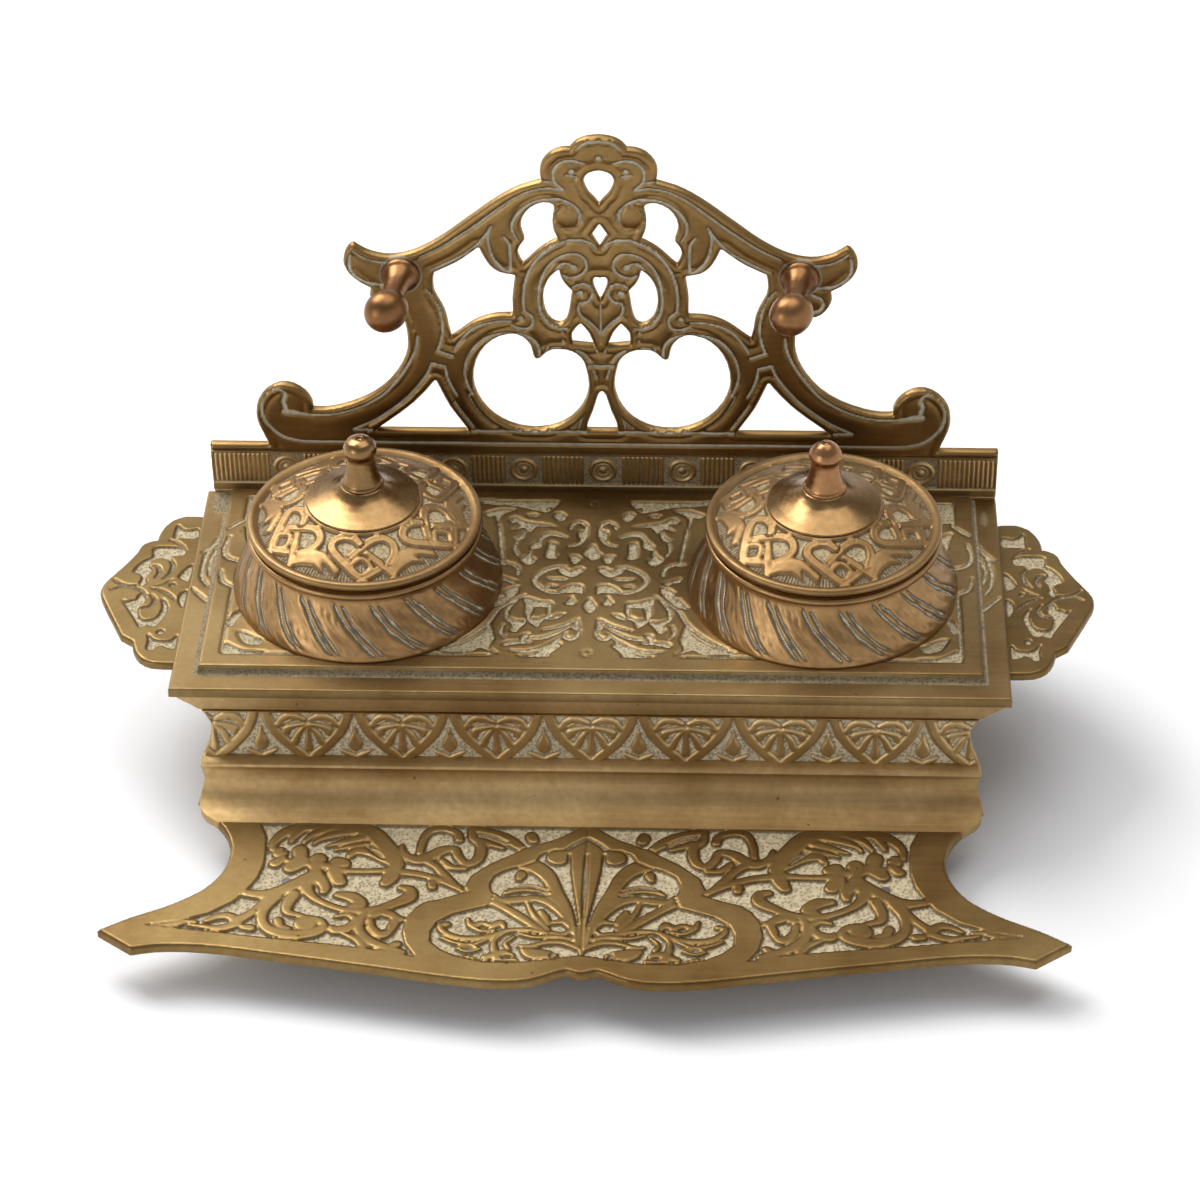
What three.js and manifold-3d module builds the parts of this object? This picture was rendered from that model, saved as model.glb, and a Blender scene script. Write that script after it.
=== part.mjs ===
// Cast brass inkstand with two ink wells, a pierced gallery and a pen trough.
// Millimetres, +Z up, the user sits on the -Y side.
// Inside the assembly group, x = 0 is the middle, y = 0 the middle of the platform
// and z = 0 the top of the platform's border. The group lifts all of it onto its feet.

import * as THREE from 'three';
import { mergeVertices } from 'three/addons/utils/BufferGeometryUtils.js';
import Module from 'manifold-3d';

const wasm = await Module();
wasm.setup();

// Clearances
const looseGap = 0.3;

// Platform
const platformWidth = 270;
const platformDepth = 108;
const plateThickness = 3.3;
const platformBackY = platformDepth / 2;
const platformFrontY = -platformDepth / 2;
const panelHeight = 2.9;
const panelHalfWidth = platformWidth / 2 - 8;
const panelFrontY = platformFrontY + 8;
const panelBackY = platformBackY - 2;
const panelBevel = 1.4;

// Plinth walls under the platform
const castingThickness = 3;
const lipDepth = 11;
const lipHalfWidth = platformWidth / 2 - 37;
const sideWallX = platformWidth / 2 - 22;
const sideLipInnerX = sideWallX - 23;
const friezeY = platformFrontY + 2.3;
const filletY = platformFrontY + 1.5;
const filletHeight = 6;
const friezeHeight = 19.3;
const ledgeY = platformFrontY - 2.4;
const coveRadius = 10.9;
const coveTopZ = -31.5;
const coveCentreY = ledgeY + 0.4 - coveRadius;
const apronTip = { x: 152.6, y: -121.4 };
const apronCorner = { x: 140.7, y: -130 };

// Side handles
const handleThickness = 2.6;
const handleRootX = platformWidth / 2 - 18;
const handleScrewX = handleRootX + 5;
const handleScrewY = 20;

// Gallery
const galleryThickness = 3;
const galleryOffsetX = 1;
const bandHalfWidth = platformWidth / 2 - 1;
const bandHeight = 19;
const galleryShoulderX = 113.6;
const flangeHalfWidth = platformWidth / 2 - 15;
const flangeDrop = 26;
const galleryScrewZ = -16;
const galleryScrewX = [40, 105];

// Ball pegs on the gallery
const pegX = 65.5;
const pegZ = 88.5;
const pegReach = 21.5;
const pegBallRadius = 7.1;
const pegStudRadius = 2;
const pegLean = -3;
const nutThickness = 2.8;
const nutAcrossCorners = 8;

// Ink wells and liners
const wellX = 75;
const wellY = 0.9;
const wellBaseRadius = 44.4;
const wellRimRadius = 38.7;
const wellTopZ = 26;
const wellFloor = 4;
const linerRadius = 32.9;
const linerWall = 2.3;
const linerLipRadius = 34.9;
const linerLipHeight = 1.5;
const linerSeatDepth = 1.8;

// Lids and finials
const lidRadius = 38.57;
const lidBeadZ = [27, 29.9];
const lidFieldZ = [29.2, 36.3];
const lidFieldRadius = [35.5, 18.8];
const lidWall = 2.4;
const lidSpigotDepth = 3.5;
const coneTopZ = 42.8;
const coneTopRadius = 6.9;
const knobTopZ = 60.4;
const finialScrewReach = 51.7;

// Screws
const screwRadius = 1.7;
const screwHeadRadius = 3.3;
const screwHeadHeight = 2;
const wellScrewRadius = 2.4;

// Feet
const footHeight = 15;
const frontFoot = { x: 95, y: -97 };
const backFoot = { x: 100, y: 38 };

// Values that follow from the ones above
const plateBottomZ = -plateThickness;
const lipBottomZ = plateBottomZ - castingThickness;
const apronTopZ = coveTopZ - coveRadius;
const apronBottomZ = apronTopZ - castingThickness;
const galleryBackY = platformBackY + galleryThickness;
const wallInnerY = friezeY + castingThickness;
const backWallInnerY = platformBackY - castingThickness;
const lipScrewX = 60;
const frontLipScrewY = wallInnerY + 5.7;
const backLipScrewY = backWallInnerY - 5;
const sideLipScrewX = sideWallX - 8;
const screwHole = screwRadius + looseGap;
const pegStudLength = galleryThickness + nutThickness + 0.4;
const standHeight = -apronBottomZ + footHeight;
const apronFrontY = -142.3;
const pegStudEndY = platformBackY + pegStudLength;
const centreY = (apronFrontY + pegStudEndY) / 2;

// Materials
const metal = (colour, roughness) => new THREE.MeshStandardMaterial({
  color: colour,
  roughness,
  metalness: 1,
});
const agedBrass = metal(0x8f7143, 0.42);
const darkBrass = metal(0x755933, 0.5);
const turnedBrass = metal(0xb98d52, 0.25);
const coppery = metal(0xb57b4e, 0.25);
const steel = metal(0x6d6a66, 0.4);
const glass = new THREE.MeshStandardMaterial({
  color: 0xdfe8e6,
  roughness: 0.08,
  metalness: 0,
});

// Solid helpers
function toSolid(geometry) {
  const bare = geometry.clone();
  bare.deleteAttribute('normal');
  bare.deleteAttribute('uv');
  const merged = mergeVertices(bare, 1e-4);
  const points = merged.attributes.position.array;
  const index = merged.index.array;
  const corners = [];
  let volume = 0;
  for (let i = 0; i < index.length; i += 3) {
    const [a, b, c] = [index[i], index[i + 1], index[i + 2]];
    if (a === b || b === c || c === a) continue;
    corners.push(a, b, c);
    const va = new THREE.Vector3().fromArray(points, 3 * a);
    const vb = new THREE.Vector3().fromArray(points, 3 * b);
    const vc = new THREE.Vector3().fromArray(points, 3 * c);
    volume += va.dot(vb.cross(vc));
  }
  if (volume < 0) corners.reverse();
  return new wasm.Manifold(new wasm.Mesh({
    numProp: 3,
    vertProperties: new Float32Array(points),
    triVerts: new Uint32Array(corners),
  }));
}

function toGeometry(solid) {
  const mesh = solid.getMesh();
  const geometry = new THREE.BufferGeometry();
  geometry.setAttribute('position', new THREE.BufferAttribute(mesh.vertProperties, 3));
  geometry.setIndex(new THREE.BufferAttribute(mesh.triVerts, 1));
  geometry.computeVertexNormals();
  return geometry;
}

function joined(geometries) {
  return geometries.map(toSolid).reduce((sum, solid) => sum.add(solid));
}

function cut(solid, geometries) {
  return geometries.map(toSolid).reduce((rest, tool) => rest.subtract(tool), solid);
}

// Outlines are lists of runs. Each run is a smooth curve, and runs meet at corners.
// A point that lies on a straight line between its neighbours is left out.
function outline(runs, steps = 2) {
  const points = [];
  for (const run of runs) {
    const knots = run.map(([x, y]) => new THREE.Vector2(x, y));
    const spans = knots.length === 2 ? 1 : steps * (knots.length - 1);
    points.push(...new THREE.SplineCurve(knots).getPoints(spans).slice(1));
  }
  const bends = points.filter((point, i) => {
    const before = points[(i + points.length - 1) % points.length];
    const after = points[(i + 1) % points.length];
    const turn = point.clone().sub(before).cross(after.clone().sub(point));
    return Math.abs(turn) > 1e-6;
  });
  return new THREE.Shape(bends);
}

function mirrored(runs) {
  return runs.map((run) => run.map(([x, y]) => [-x, y]).reverse()).reverse();
}

function symmetric(runs, steps) {
  return outline([...runs, ...mirrored(runs)], steps);
}

function rectangle(x0, x1, y0, y1) {
  return outline([[[x0, y0], [x1, y0]], [[x1, y0], [x1, y1]], [[x1, y1], [x0, y1]], [[x0, y1], [x0, y0]]]);
}

function polygon(points) {
  return new THREE.Shape(points.map(([x, y]) => new THREE.Vector2(x, y)));
}

function circle(x, y, radius) {
  return new THREE.Shape().absarc(x, y, radius, 0, 2 * Math.PI);
}

// Extrusions: flat lies in x and y, upright stands in x and z, across runs along x.
function extruded(shape, length) {
  return new THREE.ExtrudeGeometry(shape, {
    depth: length,
    bevelEnabled: false,
    curveSegments: 8,
  });
}

function flat(shape, bottomZ, topZ) {
  return extruded(shape, topZ - bottomZ).translate(0, 0, bottomZ);
}

function upright(shape, frontY, backY) {
  return extruded(shape, backY - frontY).rotateX(Math.PI / 2).translate(0, backY, 0);
}

function across(shape, x0, x1) {
  const turn = new THREE.Matrix4().makeBasis(
    new THREE.Vector3(0, 1, 0),
    new THREE.Vector3(0, 0, 1),
    new THREE.Vector3(1, 0, 0),
  );
  return extruded(shape, x1 - x0).applyMatrix4(turn).translate(x0, 0, 0);
}

function block(x0, x1, y0, y1, z0, z1) {
  return flat(rectangle(x0, x1, y0, y1), z0, z1);
}

// A turned piece about z. The profile is a list of radius and height pairs.
function turned(profile, steps) {
  const points = profile.map(([radius, height]) => new THREE.Vector2(radius, height));
  return new THREE.LatheGeometry(points, steps).rotateX(Math.PI / 2);
}

function pin(x, y, z0, z1, radius, steps = 12) {
  return turned([[0, z0], [radius, z0], [radius, z1], [0, z1]], steps).translate(x, y, 0);
}

const assembly = new THREE.Group();

function add(name, solidOrGeometry, material, x = 0, y = 0, z = 0, parent = assembly) {
  const solid = solidOrGeometry.isBufferGeometry ? toSolid(solidOrGeometry) : solidOrGeometry;
  const mesh = new THREE.Mesh(toGeometry(solid), material);
  mesh.name = name;
  mesh.position.set(x, y, z);
  parent.add(mesh);
  return mesh;
}

const sides = [['left', -1], ['right', 1]];

// A pan head screw that points up, with its head under z = 0
function screw(shaftRadius, headRadius, headHeight, reach) {
  const rounding = headHeight * 0.35;
  return turned([
    [0, -headHeight],
    [headRadius - rounding, -headHeight],
    [headRadius, -headHeight + rounding],
    [headRadius, 0],
    [shaftRadius, 0],
    [shaftRadius, reach],
    [0, reach],
  ], 12);
}

// Platform plate with its raised, bevelled panel
function platform() {
  const plate = block(
    -platformWidth / 2, platformWidth / 2,
    -platformDepth / 2, platformDepth / 2,
    plateBottomZ, 0,
  );
  const slope = (low, high) => polygon([
    [low, -1],
    [high, -1],
    [high, 0],
    [high - panelBevel, panelHeight],
    [low + panelBevel, panelHeight],
    [low, 0],
  ]);
  const alongX = toSolid(across(slope(panelFrontY, panelBackY), -platformWidth / 2, platformWidth / 2));
  const alongY = toSolid(upright(
    slope(-panelHalfWidth, panelHalfWidth), -platformDepth / 2, platformDepth / 2,
  ));
  const body = toSolid(plate).add(alongX.intersect(alongY));
  const boreTopZ = plateBottomZ + 4.2;
  const bores = [];
  for (const [, side] of sides) {
    bores.push(pin(side * wellX, wellY, plateBottomZ - 1, panelHeight + 1, wellScrewRadius + looseGap));
    bores.push(pin(side * lipScrewX, frontLipScrewY, plateBottomZ - 1, boreTopZ, screwHole));
    bores.push(pin(side * lipScrewX, backLipScrewY, plateBottomZ - 1, boreTopZ, screwHole));
    bores.push(pin(side * sideLipScrewX, 0, plateBottomZ - 1, boreTopZ, screwHole));
    for (const end of [-1, 1]) {
      bores.push(pin(side * handleScrewX, end * handleScrewY, plateBottomZ - 1, boreTopZ, screwHole));
    }
  }
  return cut(body, bores);
}

// Front casting: fillet, frieze, ledge bead, cove and apron in one plate
function frontCasting() {
  const friezeTopZ = plateBottomZ - filletHeight;
  const friezeBottomZ = friezeTopZ - friezeHeight;
  const arc = (radius, from, to) => {
    const points = [];
    for (let i = 0; i <= 8; i += 1) {
      const angle = THREE.MathUtils.degToRad(from + (to - from) * i / 8);
      points.push([coveCentreY + radius * Math.cos(angle), coveTopZ + radius * Math.sin(angle)]);
    }
    return points;
  };
  const wall = polygon([
    [filletY, plateBottomZ],
    [filletY, friezeTopZ],
    [friezeY, friezeTopZ - 0.5],
    [friezeY, friezeBottomZ],
    [ledgeY + 1.8, friezeBottomZ - 0.3],
    [ledgeY + 0.4, friezeBottomZ - 1],
    [ledgeY, friezeBottomZ - 1.8],
    ...arc(coveRadius, 0, -90),
    [coveCentreY - 3, apronTopZ],
    [coveCentreY - 3, apronBottomZ],
    ...arc(coveRadius + castingThickness, -90, 0),
    [wallInnerY, coveTopZ + 4.5],
    [wallInnerY, plateBottomZ],
  ]);
  const ends = symmetric([
    [[0, plateBottomZ], [134.5, plateBottomZ]],
    [[134.5, plateBottomZ], [131.6, -5.6], [126, -9.4], [122.6, -15.2], [122.9, -20], [124.2, -25], [126.6, -30.2]],
    [[126.6, -30.2], [125.6, -35], [126.6, -39.5], [128.5, apronBottomZ]],
    [[128.5, apronBottomZ], [0, apronBottomZ]],
  ]);
  const tip = [apronTip.x, apronTip.y];
  const corner = [apronCorner.x, apronCorner.y];
  const plan = symmetric([
    [[0, wallInnerY + 1], [140, wallInnerY + 1]],
    [[140, wallInnerY + 1], [140, ledgeY - 1]],
    [[140, ledgeY - 1], [127, -60.6]],
    [
      [127, -60.6], [126.6, -63.6], [124.2, -66.8], [120.2, -70.2], [116.5, -76.2], [114.7, -83.4],
      [115.5, -91.2], [119.3, -99], [124.8, -104.6], [132.8, -110], [143, -115.2], tip,
    ],
    [tip, corner],
    [
      corner, [133.5, -128.4], [124, -128], [112, -129], [100, -130.9], [83, -133.6],
      [60, -137.5], [38.6, -141.2], [24, apronFrontY], [15, -141.1], [9, -138.4], [4.6, -136.5],
    ],
    [[4.6, -136.5], [1.6, -137.8], [0, -138]],
  ]);
  const apron = toSolid(flat(plan, apronBottomZ, apronTopZ))
    .subtract(toSolid(block(-150, 150, coveCentreY + 0.5, 0, apronBottomZ - 1, apronTopZ + 1)));
  const front = toSolid(across(wall, -136, 136))
    .intersect(toSolid(upright(ends, coveCentreY - 4, wallInnerY + 1)))
    .intersect(toSolid(flat(plan, apronBottomZ - 1, 1)))
    .add(apron)
    .add(toSolid(block(
      -lipHalfWidth, lipHalfWidth, wallInnerY - 1, wallInnerY + lipDepth, lipBottomZ, plateBottomZ,
    )));
  const bores = [];
  for (const [, side] of sides) {
    bores.push(pin(side * lipScrewX, frontLipScrewY, lipBottomZ - 1, plateBottomZ + 1, screwHole));
    bores.push(pin(side * frontFoot.x, frontFoot.y, apronBottomZ - 1, apronTopZ - 0.6, screwHole));
  }
  return cut(front, bores);
}

// Side wall of the plinth, a channel with a lip under the platform and one over the foot
function sidePlate(side) {
  const wall = polygon([
    [sideLipInnerX + 9, plateBottomZ],
    [sideWallX, plateBottomZ],
    [sideWallX, apronBottomZ],
    [sideLipInnerX, apronBottomZ],
    [sideLipInnerX, apronTopZ],
    [sideWallX - castingThickness, apronTopZ],
    [sideWallX - castingThickness, lipBottomZ],
    [sideLipInnerX + 9, lipBottomZ],
  ].map(([x, z]) => [side * x, z]));
  const channel = toSolid(upright(wall, wallInnerY + looseGap, backWallInnerY - looseGap));
  return cut(channel, [
    pin(side * sideLipScrewX, 0, lipBottomZ - 1, plateBottomZ + 1, screwHole),
    pin(side * backFoot.x, backFoot.y, apronBottomZ - 1, apronTopZ + 1, screwHole),
  ]);
}

function backPlate() {
  const wall = joined([
    block(-sideWallX, sideWallX, backWallInnerY, platformBackY, apronBottomZ, plateBottomZ),
    block(-lipHalfWidth, lipHalfWidth, backWallInnerY - lipDepth, backWallInnerY + 1, lipBottomZ, plateBottomZ),
  ]);
  const bores = [];
  for (const [, side] of sides) {
    bores.push(pin(side * lipScrewX, backLipScrewY, lipBottomZ - 1, plateBottomZ + 1, screwHole));
    for (const x of galleryScrewX) {
      bores.push(pin(0, 0, -1, castingThickness + 1, screwHole)
        .rotateX(-Math.PI / 2)
        .translate(side * x + galleryOffsetX, backWallInnerY, galleryScrewZ));
    }
  }
  return cut(wall, bores);
}

// Flat lobed handle that sticks out from under the platform's end
function handle(side) {
  const runs = [
    [[handleRootX, -34], [136, -37]],
    [[136, -37], [143, -36.6], [147.4, -33.8], [149.8, -29.5], [150.8, -25.6]],
    [[150.8, -25.6], [155, -22.4]],
    [[155, -22.4], [159.4, -13], [163, -5], [165, 0.5], [164.6, 5.4], [162.6, 9.4]],
    [[162.6, 9.4], [158.8, 16.4], [155.6, 23.2]],
    [[155.6, 23.2], [154.7, 27], [152, 29.3], [149.7, 30]],
    [[149.7, 30], [149.1, 35.4], [146.3, 41], [141.6, 43.8], [136, 43.6]],
    [[136, 43.6], [handleRootX, 40]],
    [[handleRootX, 40], [handleRootX, -34]],
  ];
  const shape = outline(side > 0 ? runs : mirrored(runs));
  for (const end of [-1, 1]) {
    shape.holes.push(circle(side * handleScrewX, end * handleScrewY, screwHole));
  }
  return flat(shape, plateBottomZ - handleThickness, plateBottomZ);
}

// Pierced gallery. All its openings are symmetric pairs or lie on the middle line.
function gallery() {
  const half = [
    [[0, -flangeDrop], [flangeHalfWidth, -flangeDrop]],
    [[flangeHalfWidth, -flangeDrop], [flangeHalfWidth, 0.3]],
    [[flangeHalfWidth, 0.3], [bandHalfWidth, 0.3]],
    [[bandHalfWidth, 0.3], [bandHalfWidth, bandHeight]],
    [[bandHalfWidth, bandHeight], [galleryShoulderX, bandHeight]],
    [
      [galleryShoulderX, bandHeight], [116.6, 27], [117.2, 32], [116.2, 36.8], [113, 41.2], [108.4, 43.8],
      [103.8, 43.2], [100, 40.3], [98, 36.6], [97.8, 33.9],
    ],
    [
      [97.8, 33.9], [94, 33.7], [88, 34.9], [80, 38.2], [73.5, 42.9], [68.6, 48.9], [65.6, 55],
      [64.4, 61.2], [65, 69], [67.2, 74.6],
    ],
    [[67.2, 74.6], [69.4, 72.4], [72.6, 73.4], [75.2, 76.6], [76.2, 80], [75.6, 82.6]],
    [[75.6, 82.6], [79.3, 84.8], [82.6, 88.2], [84.2, 92], [83.9, 95.4], [82.6, 98], [80.9, 99.8]],
    [
      [80.9, 99.8], [77.2, 97.1], [73, 95.5], [69, 95], [64.6, 95.6], [60, 97.2], [54.8, 100.1],
      [50, 103.5], [45, 107.6], [40, 111.7], [35, 115.7], [30, 119.2], [25, 121.9], [18.4, 124.1],
    ],
    [[18.4, 124.1], [19, 127.6], [18.1, 131.2], [15.4, 134.4], [12, 136], [9.2, 136.2]],
    [[9.2, 136.2], [7, 138.7], [3.6, 140.2], [0, 140.6]],
  ];
  const middle = [
    [
      [[0, 128.2], [2.6, 127.5], [4.4, 125.9], [4.8, 123.2], [3.4, 119.6], [1.4, 117.2], [0, 115.2]],
    ],
    [[[0, 108], [2.7, 103.8]], [[2.7, 103.8], [0, 98.9]]],
    [[[0, 87.2], [1.3, 87.7], [2.3, 86.4], [1.9, 83], [0, 78.3]]],
    [[[0, 42.2], [1.3, 40.6], [2.9, 34.6], [4.8, 29.4], [5.2, 26.2]], [[5.2, 26.2], [0, 26.2]]],
  ];
  const paired = [
    [
      [[15, 111.5], [14.8, 115.2], [18.5, 116], [22.5, 113.9], [25, 110.3], [25.6, 106], [24.4, 101.9]],
      [[24.4, 101.9], [26.4, 98.8], [26.7, 95.6], [25.3, 92.3]],
      [[25.3, 92.3], [23.5, 93.9], [20.5, 97.1], [17.2, 99.8], [13.4, 102]],
      [[13.4, 102], [14.8, 105.2], [15.3, 108.6], [15, 111.5]],
    ],
    [
      [[39.6, 98.9], [38, 95], [36, 91.6], [33, 89.2], [28, 88.1]],
      [[28, 88.1], [28.5, 84], [29.1, 79], [29, 72.5]],
      [[29, 72.5], [33.5, 72.4], [38, 71.4], [42.5, 69.1], [46.5, 65.9], [49.8, 63.3]],
      [[49.8, 63.3], [50.6, 67.5], [51.2, 71.7], [52.5, 75.7], [54.7, 80.5], [55.1, 85], [54.5, 89]],
      [[54.5, 89], [50, 91.3], [45.5, 94], [39.6, 98.9]],
    ],
    [
      [
        [13.5, 90.4], [16.3, 87.7], [18.3, 83.5], [18.9, 78.4], [18.2, 73.6], [16.4, 70.3],
        [13.8, 69], [11.6, 70.2], [10.5, 73.8], [9.9, 78], [9.3, 82.2],
      ],
      [[9.3, 82.2], [11.4, 84.6], [12.8, 87.3], [13.5, 90.4]],
    ],
    [
      [[6.7, 69.3], [9.5, 65.8], [9.6, 61.4]],
      [[9.6, 61.4], [2.2, 60.6]],
      [[2.2, 60.6], [4.1, 65.8], [6.7, 69.3]],
    ],
    [
      [[29, 65.2], [25.8, 63.6], [23.6, 60.6], [22.8, 57]],
      [[22.8, 57], [22.2, 55.3], [20.5, 55.3]],
      [[20.5, 55.3], [18.8, 57.2], [16.2, 58.9], [12, 58.9], [8.3, 57.2], [6, 54.3], [5, 50.5]],
      [
        [5, 50.5], [4.3, 44.5], [5.6, 38.2], [8.5, 33], [12.5, 29.3], [17.5, 27], [23, 26.3],
        [28.5, 27.1], [34, 29.7], [38.6, 34], [41.9, 39.9], [43.1, 46.5], [41.9, 54.2],
        [38.6, 60.2], [34, 63.9], [29, 65.2],
      ],
    ],
    [
      [[77, 25.5], [68.6, 32.2], [63.4, 37], [59, 42], [55.8, 46.4]],
      [[55.8, 46.4], [53.8, 41.2], [51.5, 35.8], [48.8, 31.2], [45.2, 25.5]],
      [[45.2, 25.5], [77, 25.5]],
    ],
  ];
  const openings = [
    ...middle.map((runs) => symmetric(runs)),
    ...paired.map((runs) => outline(runs)),
    ...paired.map((runs) => outline(mirrored(runs))),
  ];
  for (const [, side] of sides) {
    openings.push(circle(side * pegX, pegZ, pegStudRadius + looseGap));
    for (const x of galleryScrewX) openings.push(circle(side * x, galleryScrewZ, screwHole));
  }
  const slab = toSolid(upright(symmetric(half), platformBackY, galleryBackY));
  return cut(slab, openings.map((shape) => upright(shape, platformBackY - 1, galleryBackY + 1)));
}

// Ball peg, turned along its own axis and leaning a little from use
function peg() {
  const neckRadius = 3.9;
  const start = Math.asin(neckRadius / pegBallRadius);
  const ball = [];
  for (let i = 0; i <= 9; i += 1) {
    const angle = start + (Math.PI - start) * i / 9;
    ball.push([
      i === 9 ? 0 : pegBallRadius * Math.sin(angle),
      pegReach - pegBallRadius * Math.cos(angle),
    ]);
  }
  const geometry = turned([
    [0, -pegStudLength],
    [pegStudRadius, -pegStudLength],
    [pegStudRadius, 0],
    [6.4, 0],
    [6.1, 1.4],
    [4.8, 3.8],
    [4, 7],
    [3.7, 11],
    ...ball,
  ], 20);
  const points = geometry.attributes.position;
  for (let i = 0; i < points.count; i += 1) {
    const forward = Math.max(points.getZ(i), 0);
    points.setX(i, points.getX(i) + pegLean * forward / pegReach);
  }
  return geometry.rotateX(Math.PI / 2);
}

function nut() {
  const shape = new THREE.Shape();
  for (let i = 0; i < 6; i += 1) {
    const angle = i * Math.PI / 3;
    const point = [nutAcrossCorners / 2 * Math.cos(angle), nutAcrossCorners / 2 * Math.sin(angle)];
    if (i === 0) shape.moveTo(...point);
    else shape.lineTo(...point);
  }
  shape.holes.push(circle(0, 0, pegStudRadius + looseGap));
  return upright(shape, 0, nutThickness);
}

// Ink well: flared body, throat and polished rim ring, with a ledge for the liner's lip
function well() {
  const floorZ = panelHeight + wellFloor;
  const boreTopZ = floorZ - 1;
  const bore = wellScrewRadius + looseGap;
  const seatZ = wellTopZ - linerSeatDepth;
  const insideRadius = linerRadius + 0.5;
  return turned([
    [0, boreTopZ],
    [bore, boreTopZ],
    [bore, panelHeight],
    [wellBaseRadius, panelHeight],
    [wellBaseRadius, panelHeight + 1],
    [43.7, 6.4],
    [42.2, 10],
    [40, 14],
    [37.9, 17.6],
    [36.7, 20.6],
    [36.5, 22.6],
    [37, 23.4],
    [38.2, 23.6],
    [wellRimRadius, 24.3],
    [wellRimRadius, 25.3],
    [38.1, wellTopZ],
    [linerLipRadius + looseGap, wellTopZ],
    [linerLipRadius + looseGap, seatZ],
    [insideRadius, seatZ],
    [insideRadius, 20.5],
    [35.2, 16],
    [38.2, 11],
    [39.6, 8.4],
    [38.6, floorZ],
    [0, floorZ],
  ], 36);
}

function liner() {
  const bottomZ = panelHeight + wellFloor + looseGap;
  const seatZ = wellTopZ - linerSeatDepth;
  const lipTopZ = seatZ + linerLipHeight;
  const inside = linerRadius - linerWall;
  return turned([
    [0, bottomZ],
    [linerRadius - 2, bottomZ],
    [linerRadius, bottomZ + 2],
    [linerRadius, seatZ],
    [linerLipRadius, seatZ],
    [linerLipRadius, lipTopZ],
    [inside, lipTopZ],
    [inside, bottomZ + linerWall + 2],
    [inside - 2, bottomZ + linerWall],
    [0, bottomZ + linerWall],
  ], 28);
}

// Lid: rounded bead, field that rises to the finial, and a spigot that drops into the liner
function lid() {
  const [beadBottomZ, beadTopZ] = lidBeadZ;
  const [fieldLowZ, fieldHighZ] = lidFieldZ;
  const [fieldOuter, fieldInner] = lidFieldRadius;
  const bore = screwRadius + 0.2 + looseGap;
  const spigotOuter = linerRadius - linerWall - 0.4;
  const spigotInner = spigotOuter - 2;
  const ceilingZ = fieldHighZ - lidWall;
  const spigotTopZ = fieldLowZ + (fieldOuter - spigotInner) * 0.425 - lidWall;
  return turned([
    [bore, fieldHighZ],
    [bore, ceilingZ],
    [fieldInner - 0.6, ceilingZ],
    [spigotInner, spigotTopZ],
    [spigotInner, wellTopZ - lidSpigotDepth],
    [spigotOuter, wellTopZ - lidSpigotDepth],
    [spigotOuter, wellTopZ],
    [36.6, wellTopZ],
    [36.7, beadBottomZ],
    [37.6, beadBottomZ],
    [38.3, beadBottomZ + 0.6],
    [lidRadius, beadBottomZ + 1.5],
    [38.3, beadTopZ - 0.5],
    [37.6, beadTopZ],
    [36.5, beadTopZ],
    [fieldOuter + 0.3, fieldLowZ + 0.3],
    [fieldOuter, fieldLowZ],
    [fieldInner, fieldHighZ],
    [bore, fieldHighZ],
  ], 36);
}

function cone() {
  const baseZ = lidFieldZ[1];
  const bore = screwRadius + 0.2 + looseGap;
  return turned([
    [bore, coneTopZ],
    [bore, baseZ],
    [lidFieldRadius[1] - 0.4, baseZ],
    [lidFieldRadius[1], baseZ + 0.4],
    [lidFieldRadius[1] - 0.3, baseZ + 0.8],
    [15.2, 38],
    [12, 39.2],
    [9.5, 40.5],
    [7.8, 41.8],
    [coneTopRadius, coneTopZ],
    [bore, coneTopZ],
  ], 28);
}

// Finial knob: spool neck and a domed or pointed head, bored from below for the screw
function knob(head) {
  const bore = screwRadius + 0.2 + looseGap;
  const boreTopZ = finialScrewReach + looseGap;
  return turned([
    [0, boreTopZ],
    [bore, boreTopZ],
    [bore, coneTopZ],
    [coneTopRadius, coneTopZ],
    [coneTopRadius, coneTopZ + 0.8],
    [6.3, coneTopZ + 1.5],
    [5.6, coneTopZ + 3.6],
    [4.9, coneTopZ + 6.6],
    [4.5, coneTopZ + 9.4],
    [4.5, coneTopZ + 10.8],
    ...head.map(([radius, below]) => [radius, knobTopZ - below]),
  ], 20);
}
const domedHead = [
  [5, 5.8], [5.4, 5.2], [5.5, 4.2], [5.2, 2.6], [4.2, 1.2], [2.6, 0.3], [0.9, 0], [0.9, 0.8], [0, 1],
];
const pointedHead = [
  [5, 5.9], [5.4, 5.2], [5.4, 4.2], [4.5, 2.4], [3, 0.9], [1.7, 0.1], [0.8, 0], [0.8, 0.7], [0, 0.9],
];

function foot() {
  return turned([
    [screwHole, 0],
    [8.5, 0],
    [8.5, -1.4],
    [7.3, -2.6],
    [9.3, -5.6],
    [9.3, -8.6],
    [7.4, -12.6],
    [6.4, -footHeight],
    [3.9, -footHeight],
    [3.9, -11.5],
    [screwHole, -11.5],
    [screwHole, 0],
  ], 16);
}

// Assembly
add('platform_plate', platform(), agedBrass);
add('front_casting', frontCasting(), agedBrass);
add('back_plate', backPlate(), darkBrass);
add('gallery', gallery(), darkBrass, galleryOffsetX);

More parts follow.
